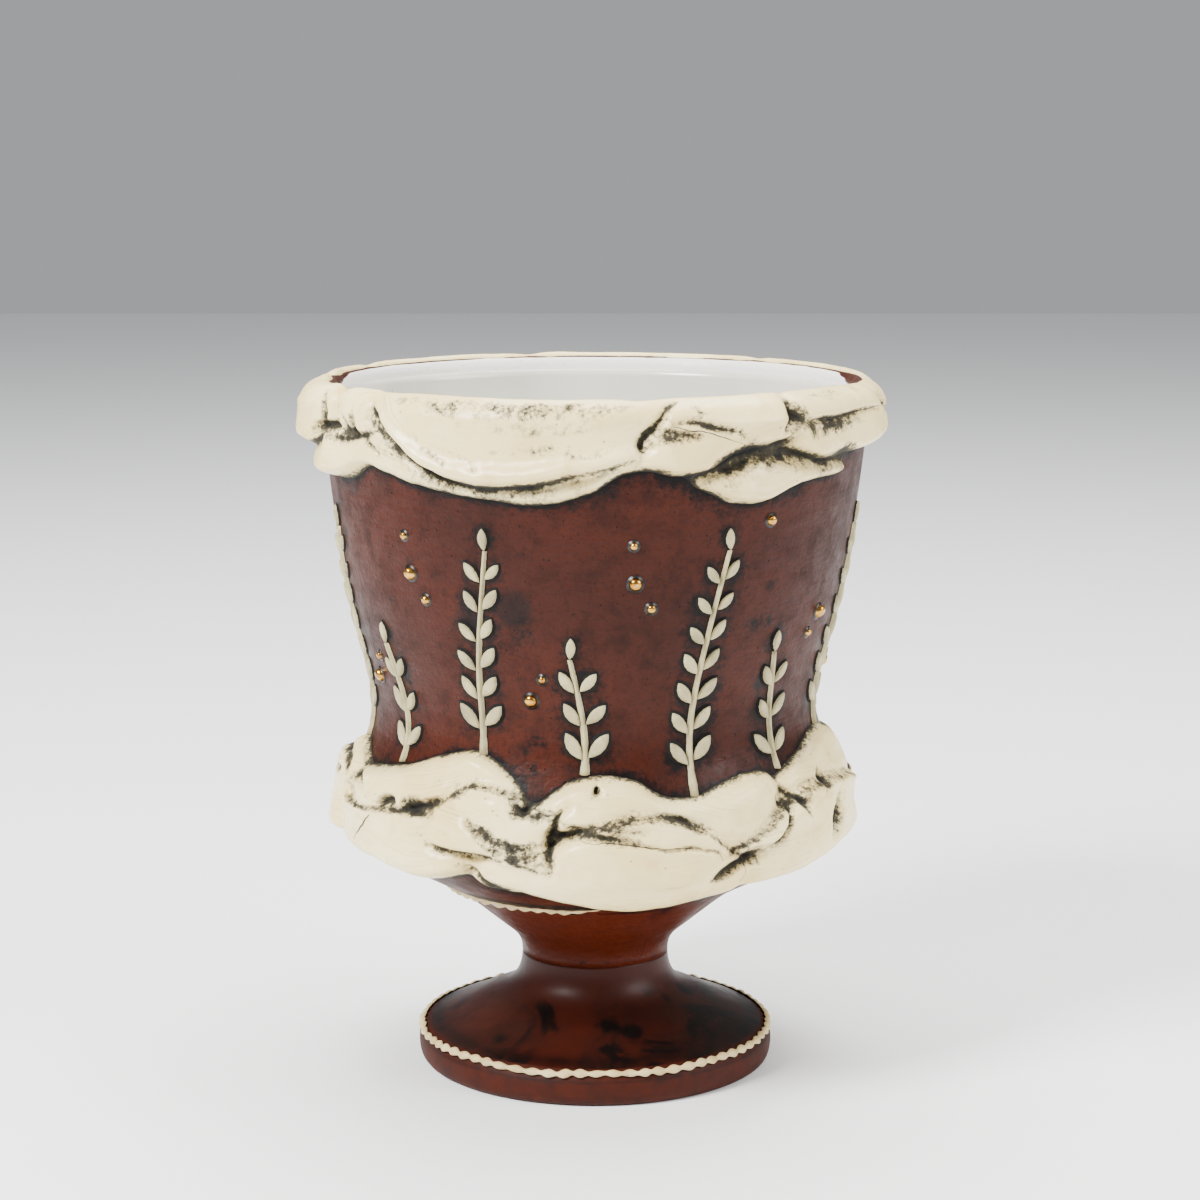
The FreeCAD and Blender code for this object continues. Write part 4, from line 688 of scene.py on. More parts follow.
def times(first, second):
    return combine("MULTIPLY", first, second)


def centred(source, gain):
    # a noise turned to swing round nought
    return times(combine("SUBTRACT", source, 0.5), gain)


def specks(source, scale, size):
    # small round specks, 1 in each speck
    node = source.id_data.nodes.new("ShaderNodeTexVoronoi")
    node.inputs["Scale"].default_value = scale
    link(source, node.inputs["Vector"])
    return ramp(node.outputs["Distance"], (size * 0.6, 1), (size, 0))


def speckled(tone, place, scale, size, colour, patches, *stops):
    # specks of a colour, where the wide noise lets them show
    few = ramp(noise(place, patches, 1), *stops)
    return mix(times(specks(place, scale, size), few), tone, linear(colour))


def dress(shader, tone, rough, bump, height, distance):
    link(tone, shader.inputs["Base Color"])
    link(rough, shader.inputs["Roughness"])
    node = shader.id_data.nodes.new("ShaderNodeBump")
    node.inputs["Strength"].default_value = bump
    node.inputs["Distance"].default_value = distance
    link(height, node.inputs["Height"])
    link(node.outputs[0], shader.inputs["Normal"])


def grey(value):
    return (value, value, value, 1)


# the stain colour is the black rubbed in, and also the painted shade of the hollows and painted shadow under the
# strips' edges
creamClay = {"light": (250, 231, 172), "mid": (227, 200, 132), "warm": (204, 162, 90), "stain": (4, 4, 4),
             "streak": (92, 82, 62), "speck": (96, 74, 52), "roughness": 0.27, "gloss": 0.36, "bump": 0.2}


def creamClayMaterial(settings):
    material, shader = startMaterial("creamClay")
    shader.inputs["Specular IOR Level"].default_value = settings["gloss"]
    place, stain, flow = objectPlace(shader), attribute(shader, "stain"), attribute(shader, "flow", "Vector")
    brush = noise(stretched(flow, (0.16, 1.7, 1)), 1, 5, 0.65, 0.6)
    wide = noise(place, 55)
    tone = mix(ramp(wide, (0.35, 0), (0.7, 1)), linear(settings["light"]), linear(settings["mid"]))
    tone = mix(ramp(noise(place, 150, 2), (0.6, 0), (0.8, 0.55)), tone, linear(settings["warm"]))
    # faint brushed grey in lines along the strips, then the black rubbed into the creases, which also paints shade
    # in the hollows and shadow along the strips' edges
    tone = mix(ramp(brush, (0.56, 0), (0.72, 0.16)), tone, linear(settings["streak"]))
    lines = ramp(noise(stretched(flow, (0.045, 2.2, 1)), 1, 4, 0.66, 0.3), (0.52, 0), (0.7, 0.6))
    patches = ramp(noise(place, 48, 2), (0.5, 0), (0.66, 0.7))
    tone = mix(times(lines, patches), tone, linear(settings["streak"]))
    smoke, grain = noise(place, 330, 4, 0.68, 0.3), noise(place, 1250, 3, 0.75)
    ragged = combine("ADD", centred(smoke, 1.3), centred(grain, 1.5))
    ragged = times(ragged, ramp(stain, (0.02, 0), (0.2, 1), (0.75, 0.8), (1, 0.1)))
    dark = ramp(combine("ADD", stain, ragged, True), (0.1, 0), (0.34, 0.42), (0.58, 0.95), (1, 1))
    tone = mix(dark, tone, linear(settings["stain"]))
    tone = speckled(tone, place, 420, 0.11, settings["speck"], 90, (0.52, 0), (0.6, 0.6))
    rough = ramp(wide, (0.3, settings["roughness"] - 0.06), (0.75, settings["roughness"] + 0.1))
    height = mix(0.75, brush, noise(place, 520, 4, 0.6))
    dress(shader, tone, mix(dark, rough, grey(0.85)), settings["bump"], height, 0.00028)
    return material


redClay = {"light": (62, 22, 8), "mid": (45, 15, 6), "deep": (24, 9, 5), "ink": (4, 3, 3), "stem": (74, 25, 9),
           "spot": (22, 8, 6), "blot": (17, 9, 8), "pit": (16, 8, 7), "brown": (60, 16, 6),
           "glaze": (228, 226, 220), "roughness": 0.44, "gloss": 0.13, "bump": 1.0}


def redClayMaterial(settings):
    # satin terracotta with pits, iron spots and rubbed-in black; white glaze inside the lip
    material, shader = startMaterial("redClay")
    shader.inputs["Specular IOR Level"].default_value = settings["gloss"]
    place, stain, glaze = objectPlace(shader), attribute(shader, "stain"), attribute(shader, "glaze")
    wide, fine = noise(place, 28, 4, 0.6), noise(place, 260, 4, 0.65)
    tone = mix(ramp(wide, (0.32, 0), (0.68, 1)), linear(settings["mid"]), linear(settings["light"]))
    tone = mix(ramp(fine, (0.48, 0), (0.72, 0.6)), tone, linear(settings["deep"]))
    tone = mix(ramp(noise(place, 1400, 3, 0.7), (0.5, 0), (0.68, 0.6)), tone, linear(settings["deep"]))
    # the stem is redder
    split = place.id_data.nodes.new("ShaderNodeSeparateXYZ")
    link(place, split.inputs[0])
    tone = mix(ramp(times(split.outputs["Z"], 10), (0.36, 0.75), (0.4, 0)), tone, linear(settings["stem"]))
    tone = speckled(tone, place, 130, 0.2, settings["spot"], 38, (0.5, 0), (0.58, 0.8))
    tone = speckled(tone, place, 62, 0.27, settings["blot"], 24, (0.5, 0), (0.6, 0.8))
    pits = specks(place, 520, 0.1)
    tone = mix(times(pits, 0.75), tone, linear(settings["pit"]))
    ragged = times(centred(noise(place, 760, 4, 0.75), 2), ramp(stain, (0.04, 0), (0.25, 1), (0.85, 0.9), (1, 0.2)))
    dark = ramp(combine("ADD", stain, ragged, True), (0.12, 0), (0.4, 0.6), (0.62, 0.97))
    tone = mix(dark, tone, linear(settings["ink"]))
    brown = ramp(glaze, (0.15, 0), (0.45, 1))
    tone = mix(brown, tone, linear(settings["brown"]))
    tone = mix(ramp(glaze, (0.45, 0), (0.55, 1)), tone, linear(settings["glaze"]))
    rough = ramp(fine, (0.3, settings["roughness"] - 0.08), (0.7, settings["roughness"] + 0.14))
    height = mix(0.5, fine, noise(place, 1300, 3, 0.6))
    height = mix(0.45, height, noise(objectPlace(shader, (0.18, 0.18, 1)), 520, 3, 0.6))
    height = mix(times(pits, 0.9), height, grey(0))
    dress(shader, tone, mix(brown, rough, grey(0.16)), settings["bump"], height, 0.0003)
    return material


footGlaze = {"red": (50, 15, 6), "edge": (60, 18, 4), "dark": (26, 8, 5), "black": (4, 3, 3), "grit": (42, 13, 5),
             "pit": (30, 18, 16), "roughness": 0.37, "gloss": 0.15, "bump": 0.3}


def footMaterial(settings):
    # the foot's top is glossy and nearly black where the glaze pooled, its edge is bare clay
    material, shader = startMaterial("footGlaze")
    shader.inputs["Specular IOR Level"].default_value = settings["gloss"]
    place, stain = objectPlace(shader), attribute(shader, "stain")
    pool, bare = attribute(shader, "pool"), attribute(shader, "bare")
    wide, fine = noise(place, 62, 5, 0.62, 0.4), noise(place, 320, 4, 0.65)
    cover = combine("ADD", pool, centred(wide, 1.5), True)
    tone = mix(ramp(cover, (0.3, 0), (0.75, 0.75), (1, 1)), linear(settings["red"]), linear(settings["dark"]))
    # black where the brush pooled, in ragged patches and spots
    pools = ramp(noise(place, 42, 5, 0.68, 0.7), (0.53, 0), (0.59, 0.95))
    tone = mix(times(pools, ramp(cover, (0.2, 0), (0.5, 1))), tone, linear(settings["black"]))
    tone = speckled(tone, place, 120, 0.3, settings["black"], 45, (0.44, 0), (0.52, 0.95))
    clay = mix(ramp(fine, (0.35, 0), (0.7, 1)), linear(settings["edge"]), linear(settings["grit"]))
    clay = mix(times(specks(place, 430, 0.13), 0.8), clay, linear(settings["pit"]))
    edge = ramp(bare, (0.4, 0), (0.6, 1))
    tone = mix(stain, mix(edge, tone, clay), linear(settings["black"]))
    rough = ramp(wide, (0.3, settings["roughness"]), (0.8, settings["roughness"] + 0.16))
    dress(shader, tone, mix(edge, rough, grey(0.6)), settings["bump"], mix(0.6, fine, wide), 0.0004)
    return material


linerGlaze = {"white": (215, 212, 200), "shade": (192, 189, 177), "speck": (150, 118, 84), "roughness": 0.16,
              "bump": 0.25}


def linerMaterial(settings):
    material, shader = startMaterial("linerGlaze")
    place = objectPlace(shader, (1, 1, 0.5))
    wide = noise(place, 30)
    tone = mix(ramp(wide, (0.35, 0), (0.7, 1)), linear(settings["white"]), linear(settings["shade"]))
    tone = speckled(tone, place, 240, 0.07, settings["speck"], 60, (0.6, 0), (0.66, 0.5))
    rough = ramp(wide, (0.3, settings["roughness"]), (0.8, settings["roughness"] + 0.1))
    dress(shader, tone, rough, settings["bump"], noise(place, 75, 2), 0.0006)
    return material


slips = {"slipCream": {"light": (214, 192, 142), "mid": (176, 152, 104), "ink": (9, 8, 8), "grit": (96, 86, 66),
                       "roughness": 0.36, "gloss": 0.3, "bump": 0.3},
         "slipPale": {"light": (184, 172, 128), "mid": (138, 128, 94), "ink": (8, 7, 7), "grit": (96, 86, 66),
                      "roughness": 0.4, "gloss": 0.3, "bump": 0.3}}


def slipMaterial(name, settings):
    # pale slip, black where it meets the wall
    material, shader = startMaterial(name)
    shader.inputs["Specular IOR Level"].default_value = settings["gloss"]
    place, stain = objectPlace(shader), attribute(shader, "stain")
    wide, fine = noise(place, 240), noise(place, 1500, 3, 0.7)
    tone = mix(ramp(wide, (0.35, 0), (0.7, 1)), linear(settings["light"]), linear(settings["mid"]))
    tone = mix(ramp(fine, (0.62, 0), (0.74, 0.6)), tone, linear(settings["grit"]))
    dark = ramp(combine("ADD", stain, centred(fine, 0.7), True), (0.4, 0), (0.6, 1))
    dark = times(dark, ramp(stain, (0.05, 0), (0.2, 1)))
    tone = mix(dark, tone, linear(settings["ink"]))
    rough = ramp(wide, (0.3, settings["roughness"] - 0.05), (0.75, settings["roughness"] + 0.12))
    dress(shader, tone, mix(dark, rough, grey(0.9)), settings["bump"], fine, 0.0002)
    return material


goldLustre = {"bright": (204, 156, 76), "deep": (128, 84, 32), "ink": (9, 8, 8), "roughness": 0.15, "bump": 0.2}


def goldMaterial(settings):
    # gold domes in a black ring
    material, shader = startMaterial("goldLustre")
    place, stain = objectPlace(shader), attribute(shader, "stain")
    worn = noise(place, 700, 3, 0.6)
    ring = ramp(stain, (0.45, 0), (0.55, 1))
    tone = mix(ramp(worn, (0.4, 0), (0.7, 1)), linear(settings["bright"]), linear(settings["deep"]))
    link(ramp(stain, (0.45, 1), (0.55, 0)), shader.inputs["Metallic"])
    rough = mix(ring, ramp(worn, (0.3, settings["roughness"]), (0.8, 0.34)), grey(0.4))
    dress(shader, mix(ring, tone, linear(settings["ink"])), rough, settings["bump"], worn, 0.0002)
    return material


inkBlack = {"black": (14, 12, 12), "worn": (52, 46, 42)}


def inkMaterial(settings):
    # the black rubbed into the cracks
    material, shader = startMaterial("inkBlack")
    place = objectPlace(shader)
    tone = mix(noise(place, 900, 2), linear(settings["black"]), linear(settings["worn"]))
    link(tone, shader.inputs["Base Color"])
    link(ramp(noise(place, 700, 2), (0.3, 0.6), (0.7, 0.85)), shader.inputs["Roughness"])
    return material


def settle(piece, material, slot, *nodes):
    piece.data.materials.clear()
    piece.data.materials.append(material)
    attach(piece, "root")
    if nodes:
        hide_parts(*nodes)
    print(piece.name, "made,", len(piece.data.polygons), "faces")


def sampleDrape(drape, field, bearing, height):
    # a value of the laid clay at any bearing and height, read between its grid's points
    grid = drape[field]
    rows, columns = grid.shape
    x = (bearing % 360) / 360 * columns
    y = np.clip((height - drape["v"][0]) / (drape["v"][1] - drape["v"][0]), 0, rows - 1.001)
    i, j = np.floor(x).astype(int), np.floor(y).astype(int)
    u, w = x - i, y - j
    low = grid[j, i % columns] * (1 - u) + grid[j, (i + 1) % columns] * u
    high = grid[j + 1, i % columns] * (1 - u) + grid[j + 1, (i + 1) % columns] * u
    return low * (1 - w) + high * w


def wallWobble(bearing, height):
    # the thrown wall is never quite true
    return 0.1 * cloud(bearing, height, 16, 401) + 0.05 * cloud(bearing, height, 6, 402)


def thrownPiece(name, outline, steps):
    # a closed outline from the axis back to the axis, spun round
    count = len(outline)
    pickOnly()
    bpy.ops.mesh.primitive_circle_add(vertices=count, radius=0.01)
    piece = bpy.context.object
    piece.name = name
    setPlaces(piece, np.column_stack([outline[:, 0], np.zeros(count), outline[:, 1]]))
    for vertex in piece.data.vertices:
        vertex.select = False
    for edge in piece.data.edges:
        edge.select = set(edge.vertices) == {0, count - 1}
    bpy.ops.object.mode_set(mode="EDIT")
    bpy.ops.mesh.select_mode(type="EDGE")
    bpy.ops.mesh.delete(type="EDGE")
    bpy.ops.mesh.select_mode(type="VERT")
    bpy.ops.mesh.select_all(action="SELECT")
    bpy.ops.mesh.spin(steps=steps, angle=2 * math.pi, center=(0, 0, 0), axis=(0, 0, 1))
    closeUp(0.000002)
    return piece


def vertexPlaces(piece):
    places = np.zeros(len(piece.data.vertices) * 3, np.float32)
    piece.data.vertices.foreach_get("co", places)
    x, y, z = places.reshape(-1, 3).astype(float).T / mm
    return np.degrees(np.arctan2(x, -y)), np.hypot(x, y), z


def makeBowl():
    outside, lip = evenly(wallLine, cup["wallStep"]), evenly(lipLine, cup["lipStep"])
    inside = evenly(curvePoints(cup["inside"], 600), 5)  # rough, because the glaze covers it
    outline = np.concatenate([[(0, cup["bottom"])], outside, lip[1:], inside[1:]])
    piece = thrownPiece("bowlClay", outline, cup["steps"])
    bearing, radius, height = vertexPlaces(piece)
    outer = (height < lipFrom) & (radius > wallRadius(height) - 1)
    radius = radius + np.where(outer, wallWobble(bearing, height) * smoothStep((height - 21) / 6), 0)
    # the glaze ends inside the lip, and bare clay shows there at the two sides
    lipShare = np.abs(np.arctan2((height - lipFrom) / lipRise, (radius - lipMiddle) / lipHalf)) / math.pi
    edge = lipShare + 0.035 * cloud(bearing, 0, 9, 411) + 0.02 * cloud(bearing, 0, 3, 412)
    side = np.exp(-((np.abs(bearing) - 87) / 14) ** 2)
    inner = ~outer & (radius > 30) & (height > 60)
    glazed = smoothStep((edge - 0.6 - 0.3 * side) / 0.12)
    setValue(piece, "glaze", np.where(height >= lipFrom - 0.01, glazed, inner))
    # black along the strips, all round the right under the rim, and brushed in round the sprigs
    below = lambda drape: np.clip(drape["v"][0] - height, 0, None)
    rimGap = sampleDrape(rimDrape, "free", bearing, height) + below(rimDrape)
    shoulderGap = sampleDrape(shoulderDrape, "free", bearing, height)
    shoulderGap = shoulderGap + np.clip(height - shoulderDrape["v"][-1], 0, None) + below(shoulderDrape)
    fade = lambda gap, reach, power: np.exp(-(np.clip(gap, 0, None) / reach) ** power)
    patch = np.clip(0.42 + cloud(bearing, height, 7, 421), 0, 1)
    right = 0.45 + 0.55 * smoothStep((((bearing + 180) % 360) - 175) / 30)
    stain = fade(rimGap, 0.7, 2)
    for mark in (right * patch * fade(rimGap, 2.8, 1.5), 0.9 * fade(shoulderGap, 0.36, 2),
                 0.7 * patch * fade(shoulderGap, 1.5, 1.5)):
        stain = np.maximum(stain, mark)
    for leafBearing, leafHeight, reach in leafSpots:
        away = np.hypot(np.radians((bearing - leafBearing + 180) % 360 - 180) * radius, height - leafHeight)
        near = away < 3 * reach
        brushed = np.exp(-(away[near] / (1.35 * reach)) ** 2) * (0.45 + 0.55 * patch[near])
        stain[near] = np.maximum(stain[near], brushed)
    # two lines by the belly's slip, smudges, and the line where the foot is luted on
    upperLine, lowerLine = cup["bellyLines"]
    smudge = np.clip(2.6 * cloud(bearing, height, 11, 431) - 1.5, 0, 1)
    smudge = smudge * (0.5 + 0.5 * cloud(bearing, height, 2, 432))
    luting = np.abs(height - cup["luting"] - 0.3 * cloud(bearing, 0, 9, 433))
    for mark in (np.exp(-((height - upperLine) / 0.7) ** 2) * (0.7 + 0.3 * patch),
                 0.8 * np.exp(-((height - lowerLine) / 0.3) ** 2) * (0.3 + 0.7 * patch),
                 0.6 * np.clip(smudge, 0, 1), 0.35 * np.exp(-(luting / 0.25) ** 2)):
        stain = np.maximum(stain, mark)
    setValue(piece, "stain", np.where(outer, stain, 0))
    setPlaces(piece, around(bearing, radius, height))
    settle(piece, redClayMaterial(redClay), "bowl_clay", "bowl")


def makeLiner():
    inside, coat = (evenly(curvePoints(cup[line], 900), cup["coatStep"]) for line in ("inside", "coat"))
    outline = np.concatenate([coat[::-1], inside])
    outline[:, 0] = np.clip(outline[:, 0], 0, None)
    piece = thrownPiece("linerGlaze", outline, cup["coatSteps"])
    settle(piece, linerMaterial(linerGlaze), "liner_glaze", "liner_glaze")


foot = {
    "top": [(13.6, 20), (13.6, 17.05), (15.35, 13.3), (20.95, 11.42), (26.19, 8.48), (31.09, 6.6)],
    "edge": [(31.09, 6.6), (32.9, 5.68), (33.39, 1.98), (32.41, 0), (31.42, 0)],
    "hollow": [(26.62, 0), (25.82, 4.48), (21.83, 6.78), (13.31, 6.53), (8, 6.4), (8, 13), (0, 13)],
    "steps": 480, "topStep": 0.5, "edgeStep": 0.45, "hollowStep": 1,
    # how much glaze pooled, by height
    "pool": ([6.5, 8.5, 12.5, 15.5, 20], [0.62, 0.6, 0.55, 0.36, 0.1]),
    "bareBelow": 6.2, "slipLines": (7.25, 4.7),  # heights of the glaze's end and of the black round the slip
}


def makeFoot():
    top, edge, hollow = (evenly(curvePoints(foot[line], count), foot[line + "Step"])
                         for line, count in (("top", 500), ("edge", 300), ("hollow", 500)))
    piece = thrownPiece("footClay", np.concatenate([[(0, cup["bottom"])], top, edge[1:], hollow]), foot["steps"])
    bearing, radius, height = vertexPlaces(piece)
    outer = (radius > np.interp(height, [0, 1, 6.6, 20], [27, 28, 28, 13])) & (height > 0.3) & (height < 19)
    radius = radius + np.where(outer, 0.09 * cloud(bearing, height, 14, 451), 0)
    setValue(piece, "bare", 1 - smoothStep((height - foot["bareBelow"]) / 0.8))
    setValue(piece, "pool", np.interp(height, *foot["pool"]))
    # black above and below the trailed slip
    above, under = foot["slipLines"]
    stain = np.exp(-((height - above) / 0.55) ** 2) + 0.9 * np.exp(-((height - under) / 0.32) ** 2)
    stain = np.clip(np.where(radius > 27, stain, 0), 0, 1)
    setValue(piece, "stain", stain * (0.6 + 0.4 * cloud(bearing, height, 3, 452)))
    setPlaces(piece, around(bearing, radius, height))
    settle(piece, footMaterial(footGlaze), "foot_clay", "foot")


# slip trailed round the foot and the belly; "covered" is where it runs up under the clay, by bearing
trails = {
    "footTrail": {"node": "foot_bead_trim", "place": (32.3, 6), "normal": (0.72, 0.69), "halfWidth": 0.95,
                  "depth": 0.75, "swellings": 70, "seed": 501, "covered": ((-180, 180), (0, 0))},
    "bellyTrail": {"node": "belly_bead_trim", "place": (28.35, 34.75), "normal": (0.52, -0.85), "halfWidth": 1.0,
                   "depth": 0.95, "swellings": 67, "seed": 511,
                   "covered": ((-180, -8, 4, 60, 78, 180), (0, 0, 1, 1, 0, 0))},
}


def makeTrail(name, settings, material):
    bearing = np.linspace(0, 360, settings["swellings"] * 10, endpoint=False)
    # swellings of uneven length, some run together
    uneven = lambda size, number: cloud(bearing, 0, size, settings["seed"] + number)
    swell = 0.5 + 0.5 * np.cos(settings["swellings"] * np.radians(bearing) + 1.3 * uneven(9, 0))
    swell = swell ** 0.8 * (0.75 + 0.25 * uneven(5, 1))
    covered = np.interp((bearing + 180) % 360 - 180, *settings["covered"])
    drift = 0.16 * uneven(11, 2) + 0.12 * uneven(3, 3) + 1.9 * covered
    wide = settings["halfWidth"] * (0.42 + 0.58 * swell) * (1 - 0.7 * covered)
    deep = settings["depth"] * (0.5 + 0.5 * swell) * (1 - 0.75 * covered)
    out, up = settings["normal"]
    turn = np.linspace(0, 2 * math.pi, 14, endpoint=False)[:, None]
    aside, off = np.cos(turn) * wide + drift, np.sin(turn) * deep
    radius, height = settings["place"]
    places = around(bearing, radius + off * out - aside * up, height + off * up + aside * out)
    piece = gridPiece(name, places, np.clip(1 - (off + 0.02) / 0.2, 0, 1))
    settle(piece, material, "white_slip", settings["node"])


# leafy sprigs, seven tall and seven short in turn: node, share of the free wall, sway
sprigs = {"count": 14, "first": -28, "gap": 1.2, "leafLength": 5.6, "leafWidth": 2.4, "pitch": 4.8,
          "stemWidth": 1.0, "firstLeaf": 0.1, "lean": 38, "taper": 0.3, "top": 109.5,
          "leafMiddle": 2.2, "brushed": 2.5,  # up a leaf from its foot, and how far black is brushed in round it
          "kinds": {"tallSprigs": ("tall_sprigs", 0.97, 0.1), "shortSprigs": ("short_sprigs", 0.5, -0.12)},
          # how far out each level of a leaf stands
          "levels": ([0, 0.08, 0.1, 0.55, 0.85, 1, 1.05], [-0.25, 0.05, 0.09, 0.55, 0.78, 0.86, 0.84]),
          # across a stem, in half widths and mm: its black skirt, its edges and its crown
          "stem": [(-1.85, -0.25), (-1.8, 0.05), (-1, 0.09), (-0.82, 0.5), (0, 0.78), (0.82, 0.5), (1, 0.09),
                   (1.8, 0.05), (1.85, -0.25)]}


def shoulderTop(bearing):
    reached = 0
    for strip in shoulderDrape["strips"].values():
        rows = np.array(strip["rows"], float)
        for turn in (-360, 0, 360):
            if rows[0, 0] <= bearing + turn <= rows[-1, 0]:
                share = np.interp(bearing + turn, rows[:, 0], rows[:, 2])
                reached = max(reached, shoulderDrape["start"] + shoulderDrape["band"] * share)
    return reached


def leafForm():
    # an almond leaf one long and one wide, with a black skirt round its foot
    almond = [(0, 0), (0.16, 0.26), (0.36, 0.46), (0.58, 0.5), (0.78, 0.38), (0.92, 0.18), (1, 0),
              (0.92, -0.18), (0.78, -0.38), (0.58, -0.5), (0.36, -0.46), (0.16, -0.26)]
    longer, wider = 1.2, 1.5
    pickOnly()
    bpy.ops.mesh.primitive_circle_add(vertices=len(almond), radius=0.5, fill_type="NGON")
    form = bpy.context.object
    for vertex, (x, y) in zip(form.data.vertices, almond):
        vertex.co = (0.5 + (x - 0.5) * longer, y * wider, 0)
    bpy.ops.object.mode_set(mode="EDIT")
    bpy.ops.mesh.select_all(action="SELECT")
    for lift, shrink in ((0.08, (1, 1, 1)), (0.02, (1 / longer, 1 / wider, 1)), (0.45, (0.96, 0.92, 1)),
                         (0.3, (0.88, 0.8, 1)), (0.15, (0.72, 0.6, 1))):
        bpy.ops.mesh.extrude_region_move(TRANSFORM_OT_translate={"value": (0, 0, lift)})
        bpy.ops.transform.resize(value=shrink, center_override=(0.5, 0, 0))
    bpy.ops.mesh.poke(offset=0.05)
    bpy.ops.object.mode_set(mode="OBJECT")
    verts = np.array([tuple(vertex.co) for vertex in form.data.vertices])
    faces = [tuple(face.vertices) for face in form.data.polygons]
    bpy.data.objects.remove(form)
    return verts, faces


def addPart(heap, verts, faces, dark):
    base = sum(len(part) for part in heap["verts"])
    heap["verts"].append(verts)
    heap["faces"].extend(tuple(base + i for i in face) for face in faces)
    heap["stain"].append(dark)


def ringFaces(rings, count):
    # four-sided faces between rings of points that close on themselves
    return [(i * count + j, i * count + (j + 1) % count, (i + 1) * count + (j + 1) % count, (i + 1) * count + j)
            for i in range(rings - 1) for j in range(count)]


def pieceFrom(name, heap):
    mesh = bpy.data.meshes.new(name)
    mesh.from_pydata((np.concatenate(heap["verts"]) * mm).tolist(), [], heap["faces"])
    piece = bpy.data.objects.new(name, mesh)
    bpy.context.scene.collection.objects.link(piece)
    setValue(piece, "stain", np.concatenate(heap["stain"]))
    pickOnly(piece)
    closeUp()
    return piece


def onWall(bearing, height, aside, up, off):
    # points beside a place on the wall, aside and up in mm
    z = height + up
    radius = wallRadius(z)
    b = bearing + np.degrees(aside / radius)
    return around(b, radius + wallWobble(b, z) + off, z)


def leafPlan():
    # where every stem and leaf goes: the stems as rows of stations, the leaves as
    # bearing, height, start aside, lean and size
    stems, leaves = {}, {}
    for number, (name, (node, tallness, sway)) in enumerate(sprigs["kinds"].items()):
        stems[name], leaves[name] = [], []
        for turn in range(number, sprigs["count"], 2):
            bearing = sprigs["first"] + turn * 360 / sprigs["count"]
            low = shoulderTop(bearing) + sprigs["gap"]
            rise = tallness * (sprigs["top"] - sprigs["gap"] - sprigs["leafLength"] - low)
            radius = wallRadius(low)
            wave = rng.uniform(-0.35, 0.35)

            def stemPlace(share):
                bend = sway * rise * share ** 2 + wave * np.sin(math.pi * 2 * share)
                return bearing + np.degrees(bend / radius), low + share * rise

            stems[name].append([stemPlace(share) for share in np.linspace(-0.03, 1, 22)])
            pairs = max(1, int(rise * (1 - sprigs["firstLeaf"]) / sprigs["pitch"]))
            for pair in range(pairs):
                share = sprigs["firstLeaf"] + (1 - sprigs["firstLeaf"]) * pair / pairs
                for side in (1, -1):
                    lean = side * (sprigs["lean"] + rng.uniform(-7, 7))
                    size = (1 - sprigs["taper"] * share) * rng.uniform(0.9, 1.06)
                    leaves[name].append((*stemPlace(share + side * 0.008), side * 0.45, lean, size))
            leaves[name].append((*stemPlace(1), 0, rng.uniform(-5, 5), 1 - sprigs["taper"]))
    return stems, leaves


def makeSprigs(name, node, stemRows, leafRows, form, material):
    heap = {"verts": [], "faces": [], "stain": []}
    long, across, level = form[0].T
    for bearing, height, start, lean, size in leafRows:
        turn = math.radians(lean)
        bow = 0.06 * np.sign(lean) * np.sin(math.pi * long)
        forward, aside = long * sprigs["leafLength"] * size, (across + bow) * sprigs["leafWidth"] * size
        off = np.interp(level, *sprigs["levels"]) * (1 - 0.25 * np.abs(long - 0.5) * (level > 0.3))
        x = start + forward * math.sin(turn) + aside * math.cos(turn)
        y = forward * math.cos(turn) - aside * math.sin(turn)
        addPart(heap, onWall(bearing, height, x, y, off), form[1], (level < 0.2).astype(float))
    across, lift = np.array(sprigs["stem"]).T
    skirt, count = np.abs(across) > 1.1, len(across)
    for stem in stemRows:
        rings = []
        for number, (bearing, height) in enumerate(stem):
            half = sprigs["stemWidth"] / 2 * (1 - 0.5 * number / len(stem)) * rng.uniform(0.9, 1.1)
            if number < 2:
                half *= 1.25
            side = np.where(skirt, np.sign(across) * (half + 0.4 * (np.abs(across) - 1)), across * half)
            rings.append(onWall(bearing, height, side, 0, lift))
        last = (len(rings) - 1) * count
        ends = [tuple(range(count)), tuple(range(last, last + count))]
        addPart(heap, np.concatenate(rings), ringFaces(len(rings), count) + ends, np.tile(skirt * 1.0, len(rings)))
    settle(pieceFrom(name, heap), material, "white_slip", node)


# gilded beads, each a share of the way to the next sprig, of the free wall and of the radius
beads = {"radius": 1.2, "low": 65.5, "high": 109.5, "sides": 18, "shares": [
    [(0.5, 0.22, 1), (0.62, 0.31, 0.6)],
    [(0.42, 0.7, 1), (0.56, 0.6, 0.7), (0.4, 0.85, 0.6)],
    [(0.6, 0.92, 0.8)],
    [(0.5, 0.5, 1), (0.38, 0.42, 0.6)]],
    # a dome's rings: reach from its middle, height off the wall, and 1 in its black ring
    "rings": [(1.42, -0.25, 1), (1.4, 0.06, 1), (1, 0.12, 1), (0.98, 0.2, 0), (0.9, 0.5, 0), (0.7, 0.8, 0),
              (0.4, 0.98, 0)]}


